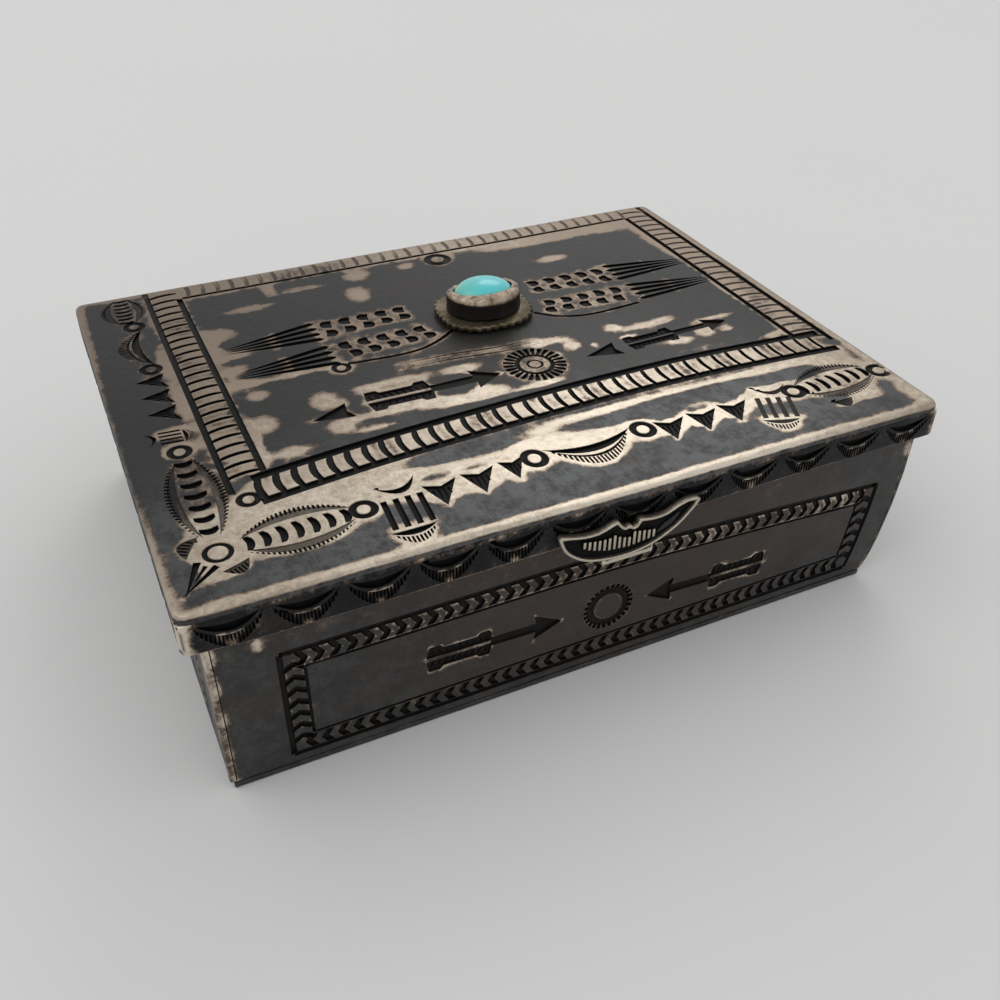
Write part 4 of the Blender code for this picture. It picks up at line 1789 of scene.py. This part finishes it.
@dataclass
class Hinge:
    """The hinge: rolled knuckles on a pin, soldered to the skirt and to a bearer bar."""

    bore: float = 0.56
    seam: float = 0.10
    bead: float = 0.42
    bead_width: float = 0.75
    bead_margin: float = 0.6
    edge_round: float = 0.07
    pin_radius: float = 0.5
    pin_round: float = 0.22
    segments: int = 40

    def cylinder(self, name: str, node: str, radius: float) -> Piece:
        """Add a cylinder along X in the middle of a node's box, as long as the box.

        Args:
            name: the cylinder's name.
            node: the CAD node.
            radius: its radius.

        Returns:
            The cylinder.
        """
        low, high = (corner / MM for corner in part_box(node))
        item = Bench.add(name, bpy.ops.mesh.primitive_cylinder_add, vertices=self.segments, radius=radius,
                         depth=high.x - low.x, location=(low + high) / 2, rotation=(0, math.pi / 2, 0))
        bpy.ops.object.transform_apply(location=True, rotation=True, scale=True)
        return item

    def knuckle(self, node: str, out: int) -> Piece:
        """Model one knuckle: a rolled tube with a seam and a bead of solder.

        Args:
            node: the CAD node.
            out: 1 if it is soldered to the skirt above it, -1 if to the bearer below it.

        Returns:
            The knuckle.
        """
        low, high = (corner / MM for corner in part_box(node))
        radius = (high.z - low.z) / 2
        item = self.cylinder(f"{node}_rolled", node, radius)
        middle = (low + high) / 2
        reach = Vector((high.x - low.x - 2 * self.bead_margin, self.bead_width, self.bead)) / 2
        spot = middle + Vector((0, -0.1, out * (radius + self.bead / 2 - 0.1)))
        bead = Bench.block("solder_bead", spot - reach, spot + reach)
        Bench.soften(bead, 0.14, 2)
        Bench.combine(item, bead, "UNION")
        hole = self.cylinder("bore", node, self.bore)
        hole.data.transform(Matrix.Diagonal((1.2, 1, 1, 1)))
        Bench.combine(item, hole, "DIFFERENCE")
        thin = Vector((high.x - low.x, radius, self.seam)) / 2
        side = middle + Vector((0, radius * 1.25, -out * 0.1))
        slit = Bench.block("slit", side - thin * 1.1, side + thin * 1.1)
        Bench.combine(item, slit, "DIFFERENCE")
        Bench.soften(item, self.edge_round, 2, 50)
        return Bench.to_metres(item, Vector(), 34)

    def pin(self) -> Piece:
        """Model the pin, with its ends peened round."""
        item = self.cylinder("hinge_pin_peened", "hinge_pin", self.pin_radius)
        Bench.soften(item, self.pin_round, 4, 50)
        return Bench.to_metres(item, Vector(), 60)

    def build(self, worn: Finish, bright: Finish, dark: Finish, rack: StampRack) -> None:
        """Make the knuckles, the pin and the bearer bar and dress them.

        Args:
            worn: the knuckles' finish.
            bright: the pin's finish.
            dark: the bearer's finish.
            rack: where the cutters are kept.
        """
        for index in (1, 2, 3):
            node = f"base_knuckle_{index}"
            dress(self.knuckle(node, -1), worn, Body.BASE, Slot.WORN, node)
        for index in (1, 2):
            node = f"lid_knuckle_{index}"
            dress(self.knuckle(node, 1), worn, Body.LID, Slot.WORN, node)
        dress(self.pin(), bright, Body.BASE, Slot.BRIGHT, "hinge_pin")
        bearer = Seat("hinge_bearer", Side.BACK).sheet("hinge_bearer_filed", rim_round=0.35,
                                                       rim_shine=0.35, rim_reach=0.7)
        dress(bearer.build(rack), dark, Body.BASE, Slot.WALL, "hinge_bearer")


@dataclass
class ThumbPiece:
    """The crescent thumb piece on the front skirt, and the tongue behind it."""

    thickness: float = 1.0
    recess: float = 0.55
    rib_count: int = 15
    rib_pitch: float = 0.69
    rib_width: float = 0.42
    rib_start: float = -6.3
    rib_drop: float = 0.14
    streak_width: float = 0.85
    streak_drop: float = 0.33
    edge_round: float = 0.13
    tip_height: float = 25.8

    edge_low: Path = ((-9.9, 0.5), (-8.9, -1.75), (-6.5, -3.75), (-3.5, -4.65), (0.0, -4.9),
                                   (3.5, -4.25), (6.6, -2.6), (8.7, -0.55), (9.6, 0.7))
    edge_high: Path = ((9.1, 1.1), (7.8, 1.1), (6.5, 0.7), (5.0, 0.0), (3.4, -0.15), (2.1, 0.05),
                                    (1.05, 0.25), (0.8, -0.5), (0.3, -0.75), (-0.15, -0.25), (-0.6, -0.45),
                                    (-1.1, -0.25), (-1.6, 0.3), (-2.0, 0.8), (-3.0, 0.45), (-4.5, -0.05),
                                    (-6.4, 0.0), (-8.4, 0.5), (-9.5, 0.85))
    dish_low: Path = ((-9.4, 0.35), (-8.55, -1.6), (-6.3, -3.46), (-3.4, -4.34), (0.0, -4.6),
                                   (3.4, -3.97), (6.35, -2.38), (8.4, -0.42), (9.05, 0.7))
    dish_high: Path = ((7.75, 0.8), (6.45, 0.4), (4.95, -0.28), (3.35, -0.45), (2.0, -0.28),
                                    (1.35, -0.2), (0.9, -0.85), (0.3, -1.05), (-0.4, -0.65), (-0.8, -0.78),
                                    (-1.3, -0.55), (-1.8, 0.0), (-2.15, 0.42), (-3.0, 0.14), (-4.55, -0.33),
                                    (-6.5, -0.28), (-8.4, 0.18))
    band_low: Path = ((-6.8, -1.75), (-5.4, -2.55), (-3.0, -3.35), (0.0, -3.65), (3.4, -3.3),
                                   (4.7, -2.6))
    band_high: Path = ((-6.8, -0.9), (-4.4, -1.4), (-2.9, -1.5), (-2.1, -1.25), (-1.2, -1.9),
                                    (-0.1, -2.2), (0.5, -1.5), (3.3, -2.1), (4.7, -1.9))

    def ribs(self) -> list[Piece]:
        """Model the upright ribs of the smile, and the smooth streak at its right end.

        Returns:
            The ribs and the streak.
        """
        floor = self.thickness - self.recess
        items = []
        half = self.rib_width / 2
        for index in range(self.rib_count):
            right = self.rib_start + index * self.rib_pitch
            rib = Bench.block("rib", Vector((right - half, height_at(self.band_low, right), floor - 0.2)),
                              Vector((right + half, height_at(self.band_high, right),
                                      self.thickness - self.rib_drop)))
            Bench.soften(rib, 0.15, 2)
            items.append(rib)
        path = curve_through([(3.9, -2.85), (5.0, -2.2), (6.0, -1.55), (6.9, -0.7)])
        outline = stroke(path, self.streak_width, 0)
        streak = Bench.prism("streak", outline, floor - 0.2, outline, self.thickness - self.streak_drop)
        Bench.soften(streak, 0.14, 2)
        return [*items, streak]

    def build_crescent(self) -> Piece:
        """Model the crescent and mark where it is polished and where it is dark.

        Returns:
            The crescent, seated.
        """
        edge = curve_through(list(self.edge_low), 4) + curve_through(list(self.edge_high), 2)
        item = Bench.prism("thumb_piece_dished", edge, 0, edge, self.thickness)
        floor = self.thickness - self.recess
        inner = curve_through(list(self.dish_low), 4) + curve_through(list(self.dish_high), 2)
        dish = Bench.prism("dish", inner, floor, inner, self.thickness + 0.5)
        Bench.combine(item, dish, "DIFFERENCE")
        Bench.soften(item, self.edge_round, 3, 60)
        Bench.combine(item, Bench.join(self.ribs(), "ribs"), "UNION", crossing=True)
        sink = Bench.number(item, "sink")
        gleam = Bench.number(item, "gleam")
        for index, point in enumerate(item.data.vertices):
            depth = self.thickness - point.co.z
            within = abs(depth - self.recess) < 0.03
            sink.data[index].value = 0.4 if within else 0.0
            gleam.data[index].value = 1.0 if depth < self.recess * 0.5 else 0.35
        low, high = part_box("thumb_piece")
        centre = Vector(((low.x + high.x) / 2, high.y, self.tip_height * MM))
        item.data.transform(seat_matrix(centre, *(Vector(way) for way in Side.FRONT.value)))
        Bench.smooth(item)
        return item

    def build(self, finish: Finish, worn: Finish, rack: StampRack) -> None:
        """Make the crescent and the tongue and dress them.

        Args:
            finish: the crescent's finish.
            worn: the tongue's finish.
            rack: where the cutters are kept.
        """
        dress(self.build_crescent(), finish, Body.LID, Slot.BRIGHT, "thumb_piece")
        tongue = Seat("thumb_tongue", Side.FRONT).sheet(
            "thumb_tongue_filed", pitch=0.5, rim_round=0.25, rim_shine=0.8, rim_reach=0.5,
            end_round=0.25, patches=[Patch(0, -2.7, 6, 0.8, 1.2)])
        dress(tongue.build(rack), worn, Body.LID, Slot.WORN, "thumb_tongue")


@dataclass
class Setting:
    """The turquoise in its bezel, on a plate with a toothed edge."""

    tooth_count: int = 34
    plate_share: float = 0.97
    tooth_depth: float = 0.42
    tooth_round: float = 0.22
    squareness: float = 2.6
    wall: float = 0.6
    lip_shine: float = 0.62
    girdle: float = 1.1
    dome_power: float = 0.76
    around: int = 96
    ring_points: int = 10

    @staticmethod
    def middle_of(node: str) -> tuple[Vector, Vector]:
        """Return the middle of a node's foot, and its half sizes, in millimetres."""
        low, high = (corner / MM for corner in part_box(node))
        return Vector(((low.x + high.x) / 2, (low.y + high.y) / 2, low.z)), (high - low) / 2

    def plate(self) -> Piece:
        """Model the plate, with its edge filed into soft teeth.

        Returns:
            The plate, seated.
        """
        foot, half = self.middle_of("bezel_plate")
        outline = []
        count = self.tooth_count * 6
        for index in range(count):
            angle = math.tau * index / count
            bite = self.tooth_depth * (0.5 - 0.5 * math.cos(angle * self.tooth_count)) ** 1.5
            flank = abs(math.cos(angle)) ** self.squareness + abs(math.sin(angle)) ** self.squareness
            squared = flank ** (-1 / self.squareness)
            outline.append(((half.x * self.plate_share * squared - bite) * math.cos(angle),
                            (half.y * self.plate_share * squared - bite) * math.sin(angle)))
        item = Bench.prism("bezel_plate_toothed", outline, 0, outline, half.z * 2)
        Bench.soften(item, self.tooth_round, 3, 60)
        return Bench.to_metres(item, foot, 50)

    def cup(self) -> Piece:
        """Model the bezel: a ring whose points take the profile of a wall pressed over the stone.

        Returns:
            The bezel, seated.
        """
        foot, half = self.middle_of("bezel_cup")
        wall = self.wall
        top = half.z * 2
        profile = ((0.0, 0.0, 0.0), (wall, 0.0, 0.0), (wall - 0.05, top * 0.30, 0.0),
                   (wall - 0.02, top * 0.66, 0.0), (wall, top * 0.84, 0.05), (wall * 0.72, top * 0.985, 0.2),
                   (wall * 0.1, top, 0.4), (-0.42, top * 0.93, 0.8), (-0.35, top * 0.84, 0.8),
                   (0.0, top * 0.66, 0.0))
        inner = Vector((half.x - wall, half.y - wall))
        item = Bench.add("bezel_cup_pressed", bpy.ops.mesh.primitive_torus_add,
                         major_segments=self.around, minor_segments=self.ring_points)
        gleam = Bench.number(item, "gleam")
        Bench.number(item, "sink")
        for index, point in enumerate(item.data.vertices):
            angle = math.tau * (index // self.ring_points) / self.around
            reach, rise, lift = profile[index % self.ring_points]
            front = (0.5 - 0.5 * math.sin(angle)) ** 1.5
            back = max(math.sin(angle), 0.0) ** 2
            high = rise / top
            ease = noise.noise(Vector((math.cos(angle) * 1.7, math.sin(angle) * 1.7, rise * 0.4)))
            ease += 0.45 * noise.noise(Vector((math.cos(angle) * 4.6, math.sin(angle) * 4.6, 7.1)))
            if reach < 0:
                reach *= 0.4 + 2.0 * front
            out = reach + (ease * 0.34 - 0.08) * high ** 3
            rise = rise * (1 - 0.45 * back) + lift * front + ease * 0.3 * high ** 2
            point.co = ((inner.x + out) * math.cos(angle), (inner.y + out) * math.sin(angle), rise)
            gleam.data[index].value = self.lip_shine if 4 <= index % self.ring_points <= 8 else 0.0
        Bench.tidy_normals(item)
        return Bench.to_metres(item, foot, 60)

    def stone(self) -> Piece:
        """Model the cabochon: a dome on a short upright girdle.

        Returns:
            The stone, seated.
        """
        foot, half = self.middle_of("turquoise_stone")
        girdle = self.girdle
        dome = half.z * 2 - girdle
        item = Bench.add("turquoise_cabochon", bpy.ops.mesh.primitive_uv_sphere_add, segments=64,
                         ring_count=32, radius=1)
        for point in item.data.vertices:
            flat = Vector((point.co.x, point.co.y))
            if point.co.z >= 0:
                rise = girdle + dome * point.co.z ** self.dome_power
            else:
                rise = girdle * (1 + max(point.co.z, -0.5) * 2)
                flat = flat.normalized() if point.co.z > -0.5 and flat.length > 1e-6 else flat
            lump = 0.05 * noise.noise(point.co * 1.4)
            point.co = (flat.x * half.x, flat.y * half.y, rise + lump * (rise > girdle))
        Bench.tidy_normals(item)
        return Bench.to_metres(item, foot, 60)

    def build(self, plate: Finish, cup: Finish, stone: Finish) -> None:
        """Make the plate, the bezel and the stone and dress them.

        Args:
            plate: the plate's finish.
            cup: the bezel's finish.
            stone: the stone's finish.
        """
        dress(self.plate(), plate, Body.LID, Slot.WORN, "bezel_plate")
        dress(self.cup(), cup, Body.LID, Slot.BEZEL, "bezel_cup")
        dress(self.stone(), stone, Body.LID, Slot.STONE, "turquoise_stone")


@dataclass(frozen=True)
class Paper:
    """The pale paper that the box stands on."""

    colour: Colour = (0.668, 0.666, 0.662)

    def material(self) -> Finish:
        """Build the finish.

        Returns:
            The finished material.
        """
        graph = Graph("pale_paper")
        drift = graph.clouds(300.0, 2.0)
        graph.feed(Base_Color=graph.mix(self.colour, tuple(part * 0.93 for part in self.colour),
                                        drift + 0.5), Roughness=0.9)
        return graph.material


@dataclass
class Studio:
    """The floor, the light and the camera of the picture."""

    eye: Vector = field(default_factory=lambda: Vector((-53.998, -120.377, 102.922)) * MM)
    azimuth: float = -25.593
    elevation: float = 37.186
    roll: float = 0.803
    lens: float = 37.52
    sensor: float = 36.0
    nearest: float = 0.005
    floor_size: float = 6.0
    room_colour: Colour = (0.985, 0.992, 1.0)
    room_strength: float = 0.79

    def floor(self) -> None:
        """Lay the floor."""
        item = Bench.add("floor", bpy.ops.mesh.primitive_plane_add, size=self.floor_size)
        item.data.materials.append(Paper().material())

    def light(self, name: str, spot: Vector, size: float, power: float, colour: Colour) -> None:
        """Hang one soft square light that looks at the box.

        Args:
            name: the light's name.
            spot: where it hangs.
            size: how wide it is.
            power: its power in watts.
            colour: its colour.
        """
        data = bpy.data.lights.new(name, "AREA")
        data.size = size
        data.energy = power
        data.color = colour
        item = bpy.data.objects.new(name, data)
        item.location = spot
        item.rotation_euler = (Vector((0, 0, 0.01)) - spot).to_track_quat("-Z", "Y").to_euler()
        bpy.context.scene.collection.objects.link(item)

    def world(self) -> None:
        """Fill the room with even light."""
        world = bpy.data.worlds.new("room")
        world.use_nodes = True
        back = world.node_tree.nodes["Background"]
        back.inputs["Color"].default_value = (*self.room_colour, 1)
        back.inputs["Strength"].default_value = self.room_strength
        bpy.context.scene.world = world

    def camera(self) -> None:
        """Set the camera where the picture was taken."""
        data = bpy.data.cameras.new("camera")
        data.lens = self.lens
        data.sensor_width = self.sensor
        data.clip_start = self.nearest
        item = bpy.data.objects.new("camera", data)
        azimuth, elevation, roll = (math.radians(angle) for angle in (self.azimuth, self.elevation,
                                                                      self.roll))
        back = Vector((math.sin(azimuth) * math.cos(elevation), -math.cos(azimuth) * math.cos(elevation),
                       math.sin(elevation)))
        right = Vector((math.cos(azimuth), math.sin(azimuth), 0))
        up = back.cross(right)
        turned_right = right * math.cos(roll) + up * math.sin(roll)
        turned_up = up * math.cos(roll) - right * math.sin(roll)
        rotation = Matrix((turned_right, turned_up, back)).transposed().to_4x4()
        item.matrix_world = Matrix.Translation(self.eye) @ rotation
        bpy.context.scene.collection.objects.link(item)
        bpy.context.scene.camera = item

    def build(self) -> None:
        """Set up the floor, the lights and the camera."""
        self.floor()
        self.world()
        self.light("window", Vector((0.81, 1.16, 1.15)), 0.72, 3.4, (1.0, 0.97, 0.93))
        self.light("fill", Vector((-0.9, 0.1, 1.5)), 1.4, 6.0, (1.0, 0.985, 0.96))
        bpy.context.scene.view_settings.view_transform = "Standard"
        self.camera()


def finishes() -> dict[str, Finish]:
    """Build the finishes and return them by name.

    Returns:
        The materials, by name.
    """
    kinds = (
        DarkenedSilver("stamped_silver", patina=(0.027, 0.0262, 0.0252), scuffing=0.12,
                       front_scuff_and_sheen=0.65, painted_dimming=1.0, specular=0.35),
        DarkenedSilver("skirt_silver", patina=(0.008, 0.008, 0.0085), brown_share=0.35, scuffing=0.22,
                       specular=0.2),
        DarkenedSilver("wall_silver", patina=(0.024, 0.0235, 0.023), scuffed=(0.072, 0.071, 0.069),
                       oxide=(0.016, 0.0145, 0.0135), brown_share=0.6, scuffing=0.5, specular=0.45),
        DarkenedSilver("thumb_silver", bright=(0.52, 0.46, 0.375), ragged=0.45, specular=0.3),
        DarkenedSilver("bezel_silver", patina=(0.008, 0.007, 0.006), scuffed=(0.02, 0.018, 0.016),
                       bright=(0.56, 0.465, 0.355), ragged=0.65, specular=0.3),
        PlainSilver("worn_silver", dark=(0.10, 0.085, 0.07), worn=0.3, roughness=0.36),
        PlainSilver("olive_silver", bright=(0.26, 0.21, 0.14), dark=(0.07, 0.055, 0.035), worn=0.45,
                    roughness=0.42),
        PlainSilver("bright_silver"),
        PolishedTurquoise("turquoise"),
    )
    return {kind.name: kind.material() for kind in kinds}


def main() -> None:
    """Build every piece in order and report it."""
    logging.basicConfig(level=logging.INFO, format="%(message)s")
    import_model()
    rack = StampRack()
    looks = finishes()
    Lid(rack).build(looks["stamped_silver"], looks["skirt_silver"])
    Base(rack).build(looks["wall_silver"])
    Hinge().build(looks["worn_silver"], looks["bright_silver"], looks["wall_silver"], rack)
    ThumbPiece().build(looks["thumb_silver"], looks["skirt_silver"], rack)
    Setting().build(looks["olive_silver"], looks["bezel_silver"], looks["turquoise"])
    rack.clear()
    Studio().build()


if __name__ == "__main__":
    main()
